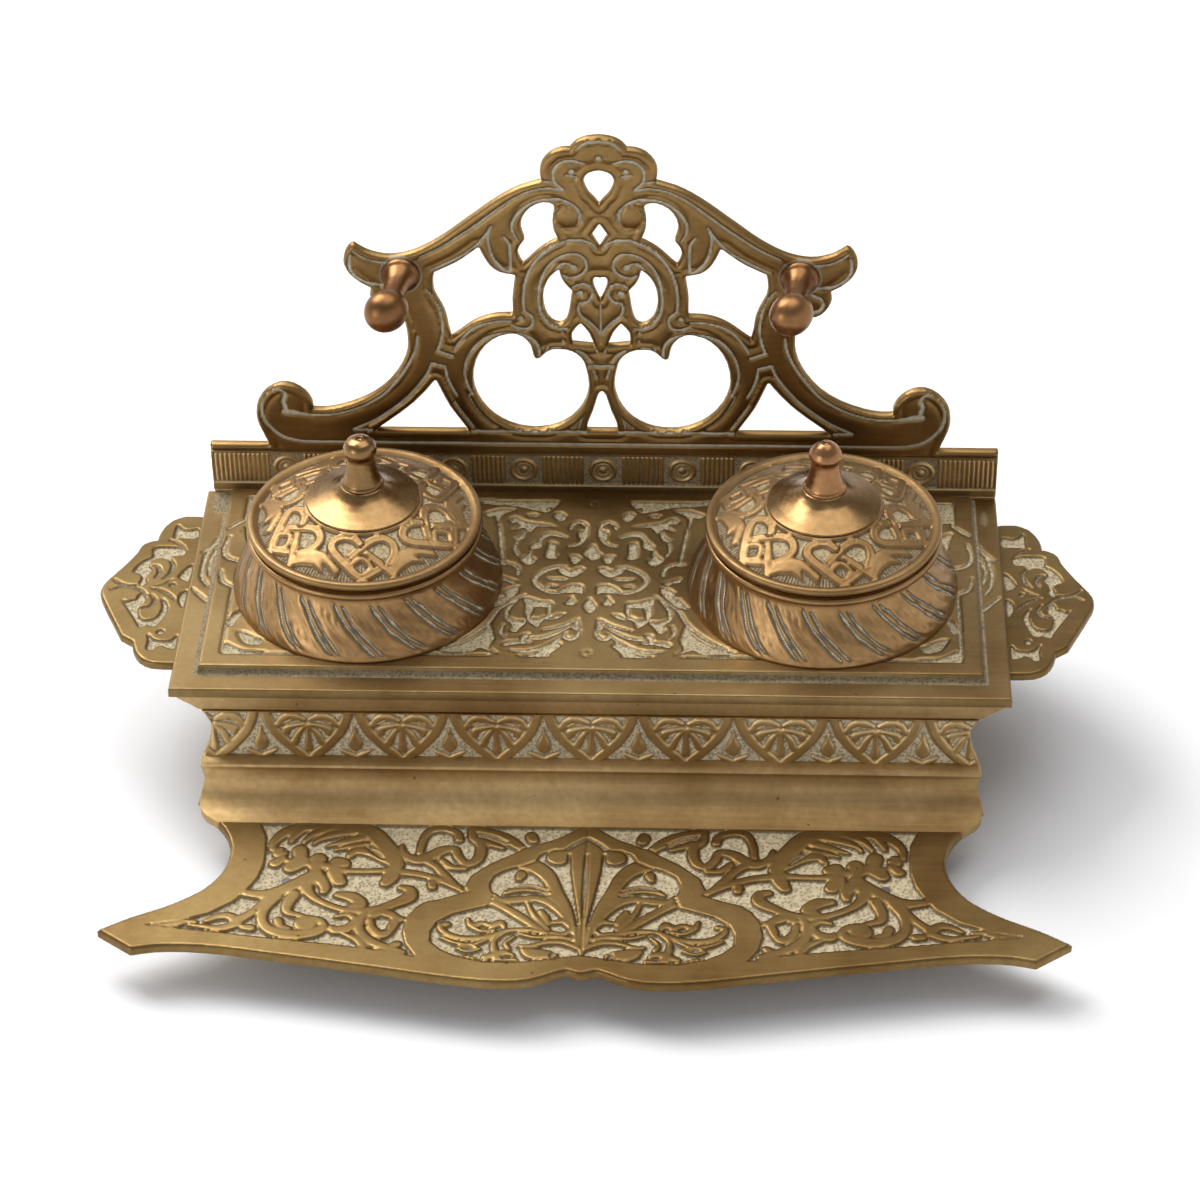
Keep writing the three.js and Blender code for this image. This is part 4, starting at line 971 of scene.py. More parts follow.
# %% Vines
vines = [
    [(-101.2, -82.5, 1.0), (-100.6, -78, 1.6), (-97, -73.6, 2.1), (-90, -71.2, 2.2), (-82, -71, 2.3),
     (-75, -71.8, 2.5), (-69.5, -74, 3.1), (-65.6, -79, 3.1), (-62.3, -84, 2.9), (-60.8, -89.5, 2.5),
     (-62, -94.5, 2.5), (-63.4, -97.4, 1.9)],
    [(-92, -72, 1.3), (-94.6, -75.4, 1.5), (-95.4, -78.6, 0.7)],
    [(-84, -72.4, 1.4), (-88.6, -74.8, 1.3), (-91.4, -78.6, 0.8)],
    [(-76, -73.4, 1.4), (-82, -75, 1.5), (-86.6, -77.4, 1.0), (-88, -79.4, 0.5)],
    [(-73, -76.4, 1.6), (-78.5, -78.4, 1.4), (-83.6, -80.4, 0.6)],
    [(-71, -79.4, 1.2), (-76, -80.6, 1.1), (-80.6, -82.2, 0.5)],
    [(-60.5, -88.4, 2.4), (-65, -85.6, 2.2), (-69.6, -83.2, 1.9), (-74.2, -82.6, 1.6), (-76, -84.8, 1.2)],
    [(-60.5, -91.2, 1.8), (-66, -91.9, 1.3), (-72, -92.2, 1.2), (-79, -92, 1.5)],
    [(-98.4, -83.8, 2.4), (-99.2, -84.6, 1.6)], [(-99.6, -89, 1.9), (-97.2, -86.6, 1.4)],
    [(-92.2, -82.6, 2.5), (-91.8, -84.6, 2.4)], [(-91.4, -87.8, 3.0), (-94.4, -91, 2.3)],
    [(-85.8, -86.6, 2.7), (-86.4, -90.4, 2.3)], [(-79.6, -87.9, 2.4), (-77.6, -88.6, 2.2)],
    [(-80.2, -92.6, 2.5), (-78.2, -97, 2.3)],
    [(-95, -88, 1.2), (-88, -89.4, 1.4), (-80, -90.4, 1.6)],
    [(-107, -103.4, 1.6), (-101, -103.8, 2.1), (-96, -101.5, 2.2), (-90, -97, 2.3), (-86.4, -93.6, 2.1)],
    [(-86.2, -94, 2.8), (-88.6, -99, 2.4), (-86, -104.4, 1.5), (-80.5, -108.3, 1.3), (-74, -110.6, 1.4),
     (-66, -110, 1.5), (-59.6, -107, 1.9), (-55.4, -103.8, 2.3), (-55.4, -100.6, 1.8),
     (-58.3, -99.6, 1.2)],
    [(-84.4, -96, 2.2), (-82.6, -99.6, 1.8), (-82.8, -102, 1.2)],
    [(-78, -103.4, 1.4), (-73.4, -104.4, 2.3), (-70.6, -107.4, 2.2), (-73.4, -109, 1.2)],
    [(-99.4, -105, 1.8), (-103.5, -111, 1.4), (-108.4, -115.8, 1.6)],
    [(-108.6, -116.6, 1.9), (-111.4, -114, 1.6), (-115, -114.3, 1.3), (-118.4, -116.4, 0.8)],
    [(-108.6, -117.4, 1.6), (-113.6, -119.6, 1.4), (-119, -119, 0.9), (-123.6, -118.4, 0.5)],
    [(-121.6, -116.8, 0.6), (-126, -116.8, 0.9), (-130, -118.2, 0.7), (-135, -118.6, 0.4)],
    [(-126.2, -117.6, 0.9), (-129.4, -119, 0.9)],
    [(-97.5, -104, 2.0), (-100.6, -110, 1.7), (-100.8, -116, 1.7), (-97.2, -120.4, 2.0), (-90, -122, 2.2),
     (-83.6, -120.6, 2.0), (-81.2, -117.8, 1.4), (-83, -115.4, 1.5), (-87.4, -115, 2.0)],
    [(-87.6, -117, 3.1), (-86.4, -117.2, 3.0)],
    [(-92, -103.4, 2.0), (-93.6, -108, 1.8), (-93, -111.8, 1.5), (-88.4, -113.4, 0.9)],
    [(-95.8, -115.6, 1.5), (-94.6, -118.4, 1.3), (-92, -119.2, 0.9)],
    [(-106.2, -119, 1.3), (-104, -119.2, 1.5)],
    [(-68.4, -110.5, 1.2), (-70, -115, 1.5), (-69.6, -120, 1.7), (-66, -124.5, 1.8), (-60, -127.6, 1.6),
     (-55.6, -129.2, 1.2)],
    [(-66.4, -112.6, 1.4), (-62.6, -111.4, 2.0), (-59, -113.8, 1.5), (-60, -118, 1.6), (-62.6, -121.6, 1.6),
     (-66, -118.4, 1.4), (-66.8, -115, 1.2)],
    [(-58.2, -114, 1.5), (-57, -114.2, 1.2)],
    [(-58.4, -126.2, 1.5), (-57.4, -125.4, 1.2)],
    [(-77.6, -113.4, 0.8), (-74, -112.6, 1.2), (-71.6, -115, 1.4), (-73.6, -118.6, 1.7),
     (-77.4, -119.8, 1.8), (-78.6, -118.4, 1.0)],
    [(-74.6, -121.4, 0.7), (-70.4, -123.6, 1.4), (-68, -127, 1.3)],
    [(-63, -92, 1.7), (-55, -92.9, 1.5), (-49, -94.6, 1.4), (-44, -97, 1.4), (-38, -100.6, 1.4)],
    [(-52.4, -86, 1.6), (-48, -89.4, 1.4), (-45, -93.4, 1.5), (-40.6, -99, 1.3)],
    [(-48.6, -97.4, 1.6), (-48.4, -99, 1.4)],
    [(-59.6, -79.6, 0.7), (-58.4, -84, 1.5), (-54, -86.6, 2.0), (-50, -84.6, 2.2), (-46.8, -82, 2.0),
     (-42.6, -81, 1.5), (-41.2, -84.4, 1.5), (-38.4, -88, 1.5), (-35.4, -86.6, 1.7), (-34, -82.4, 1.8),
     (-34.4, -78.4, 1.7), (-37, -75.4, 1.4), (-37.4, -71.4, 1.4)],
    [(-53.6, -83, 1.2), (-53, -77, 1.3), (-51, -72.4, 1.5), (-46.6, -71.6, 1.3), (-42.4, -73.2, 1.5),
     (-41.4, -76.4, 1.4)],
    [(-46, -86.6, 1.2), (-43, -89.6, 1.3), (-38.8, -90.2, 1.0)],
    [(-36, -71.6, 1.4), (-30, -73.8, 2.2), (-25, -76.6, 2.2), (-20.6, -80.6, 1.4)],
    [(-34, -77, 1.4), (-30.6, -78.6, 1.2), (-27, -80.2, 0.8)],
    [(-18.2, -74.2, 1.9), (-17.6, -76, 1.8)],
]
vine_cuts = [
    [(-35.5, -73.6, 0.2), (-30.6, -75, 0.4), (-25.8, -77.8, 0.2)],
    [(-71, -80.6, 0.2), (-67.8, -83.4, 0.45), (-65.2, -86.4, 0.2)],
    [(-97, -83, 0.2), (-95.5, -80, 0.35), (-92, -79.2, 0.2)],
    [(-63.6, -113.4, 0.3), (-62.2, -116.6, 0.5), (-61.8, -119.4, 0.25)],
]

# %% [markdown]
# ## Carving the apron
# The left half is drawn and serves both sides. The arch is what lies between its two
# outlines, the palmette is kept inside it and the vines outside it. The palmette and the vines
# rise to a crown in their middle, the arch is flat.

# %% Apron
APRON_BOX = ((-153.6, 153.6), (-143, APRON_BACK))
APRON_CELL = 0.48


def carve_apron(x, y, edge):
    """Height below the apron's top face, and relief."""
    side = -abs(x)
    field, outer, inner = [patch(side, y, shape, False)
                           for shape in (apron_field, ogee_outside, ogee_inside)]
    arch = np.maximum(outer, -inner)
    fan = np.maximum(stems(side, y, palmette) - 0.25, inner)
    vine = np.maximum(stems(side, y, vines) - 0.35, -outer)
    motif = np.maximum.reduce([step(arch), crowned(fan), crowned(vine)])
    cuts = 0.55 * step(stems(side, y, palmette_cuts + vine_cuts) - 0.1, 0.5)
    sunk = step(field, 0.5) * (1 - np.clip(motif - cuts, 0, 1))
    seen = step(field, 0.5) * (1 - np.clip(np.maximum.reduce([step(arch), step(fan), step(vine)])
                                           - 1.3 * cuts, 0, 1))
    return -1.15 * sunk - dome_edge(edge, 1.1), 1 - seen


apron_plane = face_plane((0, 0, APRON_TOP), (1, 0, 0), (0, 1, 0))
hand_over(carved_slab(apron_plane, APRON_BOX, APRON_CELL,
                      outline_of("front_casting", apron_plane), carve_apron, APRON_THICKNESS),
          "cast_apron", "base", ["front_casting"], apron_brass, "aged_brass", sharp=80)

# %% [markdown]
# ## The front wall
# Behind the apron rise the trough, a thin ledge bead and an upright wall. Wall and apron are
# one casting, so the wall is a rounded copy of that casting cut off where the apron's carving
# starts.

# %% Front wall
def rounded_casting(node, width, angle=30.0):
    """A merged copy of a CAD node with its sharp edges rounded by width mm."""
    bm = casting_copy(node)
    corners = [e for e in bm.edges if e.is_manifold
               and e.calc_face_angle(0) > math.radians(angle)]
    bmesh.ops.bevel(bm, geom=corners, offset=width, offset_type="OFFSET", affect="EDGES",
                    segments=2, profile=0.5, material=-1, clamp_overlap=True)
    return bm


front_wall = rounded_casting("front_casting", 0.4)
bmesh.ops.bisect_plane(front_wall, geom=front_wall.verts[:] + front_wall.edges[:]
                       + front_wall.faces[:], dist=0.001, plane_co=(0, APRON_BACK, 0),
                       plane_no=(0, -1, 0), clear_outer=True)
bmesh.ops.holes_fill(front_wall, edges=[e for e in front_wall.edges if e.is_boundary], sides=0)
hand_over(front_wall, "cast_front_wall", "base", ["front_casting"], wall_brass,
          "aged_brass")

# %% [markdown]
# ## The frieze
# The wall carries a row of pointed arches that hang from the edge of the platform, with a
# small flower in each arch and a spearhead between two arches. One half arch is drawn, and it
# is mirrored and repeated along the wall.

# %% Frieze
FRIEZE_TOP, FRIEZE_FOOT = -9.9, -28.8
FRIEZE_FACE = -52.8
FRIEZE_THICKNESS = 1.6
FRIEZE_CELL = 0.4
ARCH_PITCH = 30.6
ARCH_OFFSET = 0.5
frieze_arch = [
    [(0, -29.8, 1.0), (3, -27.3, 1.7), (6.4, -23.9, 1.75), (10.4, -18.6, 1.8), (12.8, -13, 1.75),
     (13.6, -9, 1.75)],
]
frieze_flower = [
    [(0.5, -13.6, 0.8), (3.7, -12.4, 1.5), (7.0, -13.0, 1.8), (9.2, -15.4, 1.3)],
    [(1.0, -15.2, 0.7), (4.4, -16.2, 1.1), (6.8, -17.6, 1.4), (6.6, -19.2, 0.9)],
    [(0.8, -16.0, 0.7), (3.0, -19.4, 1.1), (4.4, -22.8, 1.4)],
    [(0, -15.6, 0.7), (0, -21.5, 0.9), (0, -25.6, 1.4)],
]
frieze_spear = [
    [(0, -16.6, 0.3), (0, -19.6, 1.0), (0, -23.4, 2.3), (0, -26.2, 0.5)],
    [(0.2, -28.6, 0.8), (2.6, -27.6, 1.1), (4.7, -26.1, 0.5)],
]
frieze_cuts = [
    [(0, -12, 0.3), (0, -14.6, 0.35)],
    [(5.4, -13.2, 0.25), (7.4, -14.2, 0.3)],
]


def carve_frieze(x, y, edge):
    """Height below the arches' face, and relief."""
    cell = np.mod(x - ARCH_OFFSET + ARCH_PITCH / 2, ARCH_PITCH) - ARCH_PITCH / 2
    half = ARCH_PITCH / 2 - abs(cell)
    arches = stems(abs(cell), y, frieze_arch)
    flowers = stems(abs(cell), y, frieze_flower)
    spears = stems(half, y, frieze_spear)
    cuts = 0.6 * step(stems(abs(cell), y, frieze_cuts), 0.4)
    rail = step(FRIEZE_TOP - 0.8 - y, 0.4)
    motif = np.maximum.reduce([crowned(arches, crown=1.1), crowned(flowers), crowned(spears), rail])
    motif = np.clip(motif - cuts, 0, 1)
    seen = np.maximum.reduce([step(arches), step(flowers), step(spears), rail]) - cuts
    return -1.0 * (1 - motif), np.clip(seen, 0, 1)


frieze_plane = face_plane((0, FRIEZE_FACE, 0), (1, 0, 0), (0, 0, 1))
frieze_box = ((-126, 126), (FRIEZE_FOOT - 0.4, FRIEZE_TOP + 0.4))
frieze_outline = np.array([
    (-125.2, FRIEZE_TOP), (-123.4, -12.4), (-122.4, -15.2), (-122.4, -20), (-123.6, -25),
    (-125.4, FRIEZE_FOOT), (125.4, FRIEZE_FOOT), (123.6, -25), (122.4, -20), (122.4, -15.2),
    (123.4, -12.4), (125.2, FRIEZE_TOP)])
hand_over(carved_slab(frieze_plane, frieze_box, FRIEZE_CELL,
                      (frieze_outline, np.roll(frieze_outline, -1, axis=0)), carve_frieze,
                      FRIEZE_THICKNESS),
          "cast_frieze", "base", ["front_casting"], front_brass_painted_light, "aged_brass", sharp=80)

# %% [markdown]
# ## Side and back plates
# Plain plates close the plinth at the sides and the back. They share the platform's brass, so
# they are marked as worn all over.

# %% Side and back plates
def full_relief(bm):
    """Marks a whole mesh as worn metal."""
    mark = bm.verts.layers.float.new("relief")
    for v in bm.verts:
        v[mark] = 1.0
    return bm


for node in ("back_plate", "side_plate_left", "side_plate_right"):
    hand_over(full_relief(rounded_casting(node, 0.35)), f"cast_{node}", "base", [node],
              carved_brass, "aged_brass")

# %% [markdown]
# ## The handles
# The flat lobed ears are carved like the platform: scrolls and leaves stay up, and pale
# patches of ground lie between them. The same drawing serves both ears, measured outward
# from the end of the platform.

# %% Handle ornament
EAR_ROOT = 135.0
EAR_THICKNESS = 2.6
EAR_CELL = 0.45
ear_ground = [
    [(8.8, 38.5), (7.4, 36.8), (5, 35.6), (1.4, 36.2), (1.4, 31.4), (6, 31), (8.8, 30.8), (9.2, 33)],
    [(14.6, 25.8), (5, 25.4), (5, 21.4), (8, 21), (9.2, 18.8), (12, 19.8), (14.6, 18.6), (15.6, 16),
     (14.2, 13.5), (15, 11.5), (15.8, 8.6), (15.2, 6.4), (16.8, 4.2), (17.6, 6), (16.9, 9),
     (18.4, 11.2), (20.3, 12), (19.5, 15.5), (17.5, 18.6), (15, 21)],
    [(22, -3.4), (20.5, -4.2), (19, -3), (17.4, -2.6), (17, -0.6), (15.8, 0.6), (14.4, -2.4), (14.8, -5),
     (16.2, -7), (15.8, -10.4), (15, -12.6), (13.2, -14), (10.4, -13.2), (8.8, -11), (8.1, -7), (8.8, -2.6),
     (7.2, -4.6), (6.3, -8), (7.4, -12.6), (9.3, -17), (12, -16.7), (14.4, -17.6), (16, -14.4), (18.6, -9.6)],
    [(11, -21.5), (10.4, -25), (10.4, -29), (8.6, -29.8), (7.6, -28), (5.4, -27.4), (3.8, -28.4),
     (1.4, -28.6), (1.4, -22), (3, -24.3), (6, -25), (9, -24)],
    [(1.2, 16.5), (4.8, 10.2), (2.4, 7.6), (1.2, 7.6)],
    [(1.2, 2), (3.2, 0), (3, -4), (1.2, -6.6)],
    [(7.2, 5.4), (6.6, 6), (5.6, 5.6), (5.3, 4.6), (6.2, 3.9), (7, 4.3)],
    [(8, -19.4), (7.2, -18.9), (6.2, -19.5), (6.2, -20.8), (7.2, -21.4), (8.1, -20.6)],
]
ear_cuts = [
    [(27.5, 9, 0.3), (24, 5.6, 0.5), (20.6, 4.1, 0.6), (17, 2.5, 0.5), (14.6, -0.5, 0.4)],
    [(26.5, 2.2, 0.3), (24, 3.7, 0.5), (20.6, 4.3, 0.5), (18, 4.7, 0.3)],
    [(8.8, 19, 0.4), (7.5, 16, 0.6), (7.8, 12, 0.6), (9.8, 8.6, 0.3)],
    [(14.5, 15.6, 0.3), (12.5, 15, 0.5), (11.6, 12, 0.6), (12.6, 9, 0.3)],
    [(12.8, 3.1, 0.3), (9.6, 2, 0.5), (6.6, -0.4, 0.5), (4.6, -2.8, 0.3)],
    [(11.6, 4.4, 0.25), (9, 6, 0.35), (7, 8, 0.25)],
    [(12.6, -0.4, 0.3), (11.2, -3.5, 0.5), (12.6, -6.6, 0.5), (15.8, -7.3, 0.4)],
    [(10.2, 30, 0.3), (7.4, 28.4, 0.45), (5, 26, 0.3)],
]


def carve_ear(x, y, edge):
    """Height below the ear's top face, and relief."""
    out = abs(x) - EAR_ROOT
    inside = step(1.9 - edge, 0.5)
    ground = step(patches(out, y, ear_ground), 0.5) * inside
    cuts = 0.85 * step(stems(out, y, ear_cuts), 0.5) * inside
    sunk = np.clip(np.maximum(ground, cuts), 0, 1)
    return -0.95 * sunk - dome_edge(edge, 0.9), 1 - sunk


for side, way in SIDES:
    ear_plane = face_plane((0, 0, -PLATE_THICKNESS), (1, 0, 0), (0, 1, 0))
    ear_outline = outline_of(f"handle_{side}", ear_plane)
    hand_over(carved_slab(ear_plane, None, EAR_CELL, ear_outline, carve_ear, EAR_THICKNESS),
              f"cast_handle_{side}", "base", [f"handle_{side}"], apron_brass, "aged_brass", sharp=80)

# %% [markdown]
# ## The gallery
# The gallery is one flat pierced casting. Every scroll has a rounded bead along its edge and a
# swelling middle. Both follow the outline at a constant distance, so they are carved from the
# depth inside the edge alone. The thin lines that have filled with pale polish are drawn, and
# so are the eyes and a ball. All of it is mirrored about the gallery's middle.

# %% Gallery ornament
GALLERY_SHIFT = 1.0
GALLERY_FRONT = 54.0
GALLERY_THICKNESS = 3.0
GALLERY_CELL = 0.55
BAND_TOP = 16.9
PEG_X, PEG_Z = 65.5, 88.5
PEG_SEAT = 7.6
# Across, up and radius
BALL_END = (10.2, 110.6, 4.4)
gallery_eyes = [(8.8, 128, 1.0), (8.8, 91.6, 1.2), (6.8, 81.4, 1.2), (26.6, 71.4, 1.0),
                (0, 133, 1.0), (12.8, 66, 0.5), (12.6, 62.7, 0.6)]
gallery_lines = [
    [(11.8, 121, 0.3), (16, 121.6, 0.35), (22, 120.6, 0.35), (28, 117.4, 0.35), (34, 112.6, 0.35),
     (40, 107.5, 0.35), (46, 103, 0.35), (52, 98.8, 0.35), (59, 95, 0.3)],
    [(35.2, 107.3, 0.25), (37, 104, 0.35), (39.6, 100.6, 0.35), (44, 96.6, 0.35), (50, 93, 0.35),
     (55.4, 90.2, 0.3)],
    [(35.6, 106.6, 0.25), (36.4, 103, 0.35), (36, 98, 0.35), (34.4, 93.6, 0.4), (31.4, 90.4, 0.35),
     (29.8, 89.8, 0.3)],
    [(29.4, 90, 0.3), (29.2, 95, 0.4), (29.5, 100, 0.4), (31.2, 103.4, 0.2)],
    [(6.6, 109, 0.3), (6.4, 112, 0.4), (8.5, 115.4, 0.4), (12, 117.2, 0.4), (17, 117.5, 0.4),
     (22, 116, 0.4), (26, 112.5, 0.4), (28.4, 108, 0.4), (28.2, 104.6, 0.35), (26.8, 102, 0.25)],
    [(11.6, 121.4, 0.3), (14.2, 124, 0.35), (14.6, 128, 0.35), (12.4, 131, 0.35), (8.6, 132, 0.35),
     (4.6, 131, 0.25)],
    [(7, 125.8, 0.25), (10.4, 126.7, 0.3)],
    [(15.2, 123.8, 0.25), (19, 124.6, 0.35)],
    [(6.9, 136.4, 0.3), (4, 138.6, 0.35), (0, 139.2, 0.35)],
    [(0.4, 98.6, 0.35), (3, 101, 0.4), (7, 102, 0.45), (11, 101.6, 0.4), (15.5, 99.5, 0.4), (20, 95.4, 0.4),
     (23, 90.5, 0.4), (25, 84, 0.4), (25.4, 78, 0.35), (25.2, 74.6, 0.3)],
    [(12, 88.6, 0.3), (9.8, 87.4, 0.35), (6.6, 88.6, 0.35), (4.5, 91, 0.35), (4.8, 94.4, 0.35),
     (7, 96.6, 0.35), (10.4, 96.6, 0.35), (14, 95, 0.35), (17.5, 91, 0.35), (19.8, 85, 0.35),
     (20.4, 79, 0.35), (19.8, 74, 0.35), (17.4, 69.6, 0.35), (14, 67.7, 0.35), (11, 67.8, 0.25)],
    [(8.8, 91.6, 0.3), (10.4, 93, 0.3), (13, 92.4, 0.35), (14.6, 90.8, 0.25)],
    [(9, 84, 0.25), (6, 85, 0.35), (3.2, 84.2, 0.35), (2.6, 81.4, 0.35), (4, 78.4, 0.35), (6.8, 77.4, 0.35),
     (7.4, 75.2, 0.35), (6.4, 72.4, 0.35), (4, 70.2, 0.35), (1.6, 67.6, 0.35), (0.3, 65.4, 0.25)],
    [(0, 77, 0.3), (0, 66, 0.3)],
    [(25.4, 74.4, 0.3), (22.9, 72.4, 0.35), (22.6, 69.6, 0.35), (24, 67.6, 0.35), (27, 67.3, 0.35),
     (29.6, 68.6, 0.3)],
    [(29.6, 70.4, 0.3), (35, 70, 0.35), (40, 68.6, 0.35), (44, 66, 0.35), (47, 61.9, 0.35), (49, 58.6, 0.25)],
    [(20.5, 56, 0.25), (20.7, 58.8, 0.35), (21.6, 61.8, 0.35), (24.4, 64.4, 0.35), (29, 65.6, 0.35),
     (34, 65.2, 0.35), (39, 63, 0.35), (43, 58.6, 0.35), (45.4, 53, 0.35), (45.6, 47, 0.35),
     (43.6, 41, 0.3)],
    [(49.8, 56.4, 0.35), (54.8, 58.4, 0.35)],
    [(52.4, 52.2, 0.3), (56.8, 53.4, 0.35)],
    [(52.3, 52, 0.3), (51.8, 48, 0.35), (50.5, 44, 0.35), (48.8, 40.6, 0.3)],
    [(57.6, 82.6, 0.25), (55, 79.5, 0.35), (53.4, 75, 0.35), (52.6, 69, 0.35), (53, 63.5, 0.35),
     (54.4, 59, 0.3)],
    [(0, 52.7, 0.3), (4.2, 52.7, 0.3)],
    [(1.2, 58, 0.25), (2.4, 61.4, 0.35), (6, 63.3, 0.35), (9.6, 63, 0.25)],
    [(3.8, 54.8, 0.25), (5.4, 57.2, 0.35), (8, 59, 0.3)],
    [(13.4, 60.2, 0.25), (16.4, 60, 0.25)],
    [(17.6, 60.6, 0.25), (18.6, 57.5, 0.3), (20.2, 55.8, 0.2)],
    [(1.8, 48, 0.25), (2.8, 51.4, 0.25)],
    [(61, 64, 0.35), (61.6, 60, 0.4), (63, 56, 0.4), (65.6, 51, 0.4), (69, 46, 0.4), (73, 41, 0.4),
     (78, 37.2, 0.4), (83, 34.5, 0.4), (89, 32.5, 0.4), (95, 31.7, 0.4), (101, 32, 0.5), (105, 33, 0.9),
     (107.8, 33, 0.8)],
    [(107, 34.4, 0.7), (107.7, 37.4, 0.6), (107, 40, 0.5), (108.5, 41.9, 0.45), (110.6, 42.1, 0.45),
     (113, 40.6, 0.5), (114.8, 37.5, 0.5), (115.3, 33.5, 0.5), (114.4, 29, 0.5), (112, 25.6, 0.5),
     (109, 23, 0.5), (105, 21.5, 0.45), (98, 20.9, 0.4), (60, 20.8, 0.4), (0, 20.8, 0.4)],
    [(57, 52.6, 0.35), (58.6, 48.6, 0.4), (62, 43.6, 0.4), (66, 38.7, 0.4), (71, 34.2, 0.4),
     (77, 29.8, 0.4), (84.4, 26.2, 0.3)],
    [(84.4, 25.9, 0.25), (60, 25.7, 0.4), (0, 25.7, 0.4)],
    [(70.6, 92.8, 0.5), (75, 93.4, 0.35), (79, 95.4, 0.35), (81, 97.4, 0.25)],
    [(81.9, 95.6, 0.4), (82.4, 91.6, 0.45), (81, 88, 0.45), (78, 85.6, 0.45), (74, 84.3, 0.4),
     (70.4, 84.2, 0.35)],
    [(69.6, 81.6, 0.4), (72.4, 80, 0.4), (73.3, 77.6, 0.4), (72, 75.4, 0.4), (69.6, 74.6, 0.35)],
]

# %% [markdown]
# ## Carving the gallery
# The bead along every edge comes first, then the ball at the end of a scroll, the lines and
# the eyes. Below the lip the gallery is set back, where the base band stands in front of it.

# %% Gallery
def carve_gallery(x, y, edge):
    """Height below the gallery's front face, and relief."""
    side = abs(x)
    bead = dome_edge(edge, 1.1)
    groove = step(abs(edge - 2.5) - 0.3, 0.5) * (side < 50) * (y < 41) * (y > 27.5)
    middle = 0.45 * (1 - np.clip((edge - 3.0) / 2.6, 0, 1)) ** 2 * (edge > 2.5)
    height = -bead - 0.55 * groove - middle
    worn = 1 - groove
    bx, bz, radius = BALL_END
    away = np.hypot(side - bx, y - bz)
    ball = np.sqrt(np.clip(radius ** 2 - away ** 2, 0, None)) * 0.35
    ring = step(abs(away - radius - 0.5) - 0.2, 0.5)
    height = np.where(away < radius, -1.2 + ball, height - 0.6 * ring * (edge > 1))
    worn = np.where(away < radius, 1.0, worn * (1 - 0.8 * ring))
    lines = step(stems(side, y, gallery_lines) - 0.15, 0.5) * (edge > 0.8)
    for bx, bz, radius in gallery_eyes:
        lines = np.maximum(lines, step(np.hypot(side - bx, y - bz) - radius, 0.6))
    height = height - 0.6 * lines
    worn = np.minimum(worn, 1 - lines)
    lip = step(abs(y - 17.1) - 0.3, 0.4)
    # Round the foot of each peg the face is drawn duller and darker.
    peg_seat = step(np.hypot(side - PEG_X, y - PEG_Z) - PEG_SEAT, 1.0)
    height = height - 0.5 * lip
    worn = worn * (1 - 0.8 * lip) * (1 - 0.5 * peg_seat)
    height = np.where(y <= BAND_TOP, -1.5, height)
    return height, np.clip(np.where(y <= BAND_TOP, 1, worn), 0, 1)


gallery_plane = face_plane((GALLERY_SHIFT, GALLERY_FRONT, 0), (1, 0, 0), (0, 0, 1))
hand_over(carved_slab(gallery_plane, None, GALLERY_CELL, outline_of("gallery", gallery_plane),
                      carve_gallery, GALLERY_THICKNESS),
          "cast_gallery", "base", ["gallery"], gallery_brass, "aged_brass", sharp=80)

# %% [markdown]
# ## Base band
# Along the gallery's foot runs a narrow band of fine upright reeds between two cut lines. At
# nine places a plain square panel with a ring-shaped boss interrupts the reeds.

# %% Base band of the gallery
ROUNDELS = (0, 27, 51, 79, 108)
ROUNDEL_Z = 10.2
ROUNDEL_HALF = 6.2
REED_PITCH = 1.6
STRIP_FOOT, STRIP_TOP = 4.2, 16.0
BAND_BOX = ((-133.8, 133.8), (-1.2, BAND_TOP))
BAND_THICKNESS = 2.4
BAND_CELL = 0.32


def hump(away, width):
    """A round hump, 1 in its middle and 0 from width on."""
    return np.clip(1 - (away / width) ** 2, 0, 1)


def carve_band(x, y, edge):
    """A strip of fine reeds with ring-shaped bosses on plain panels."""
    side = abs(x)
    strip = (y > STRIP_FOOT) & (y < STRIP_TOP)
    reeds = 0.5 * abs(np.sin(math.pi * x / REED_PITCH)) ** 0.7
    height = np.where(strip, -0.75 + reeds, 0.0)
    # Between the reeds and on the sunk panels round the bosses the relief falls into the painted shade of the
    # brass.
    worn = np.where(strip, 0.25 + 1.6 * reeds, 1.0)
    for centre in ROUNDELS:
        panel = (abs(side - centre) < ROUNDEL_HALF) & strip
        away = np.hypot(side - centre, y - ROUNDEL_Z)
        boss = 0.7 * hump(away - 4.0, 0.9) + 0.6 * hump(away, 1.6) + 0.3 * hump(away - 2.4, 0.5)
        height = np.where(panel, -0.7 + boss, height)
        worn = np.where(panel, 0.35 + boss, worn)
    for line in (STRIP_FOOT, STRIP_TOP):
        cut = step(abs(y - line) - 0.25, 0.4)
        height = height - 0.4 * cut
        worn = worn - 0.8 * cut
    foot = dome_edge(np.clip(y, 0, 9), 1.6)
    return height - foot, np.clip(worn, 0, 1)


band_plane = face_plane((GALLERY_SHIFT, GALLERY_FRONT - 0.5, 0), (1, 0, 0), (0, 0, 1))
hand_over(carved_slab(band_plane, BAND_BOX, BAND_CELL, None, carve_band, BAND_THICKNESS),
          "cast_band", "base", ["gallery"], front_brass_painted_light, "aged_brass", sharp=80)

# %% [markdown]
# ## Wells
# Each well was turned, then its flared wall was chased with pairs of slanting cuts, pale with
# old polish, on a skin like bark. The rim ring above the waist stays smooth and polished. The
# wall is spun finely enough for the cuts, and its vertices move in and out along their radius.

# %% Carving a turned piece
CUT_PAIRS = 20
CUT_SLANT = 0.36
WALL_TOP, WALL_FOOT = 21.2, 4.2


def over_well(way):
    """The move from the origin to the axis of the well on that side."""
    return Matrix.Translation((way * WELL_X, WELL_Y, 0))


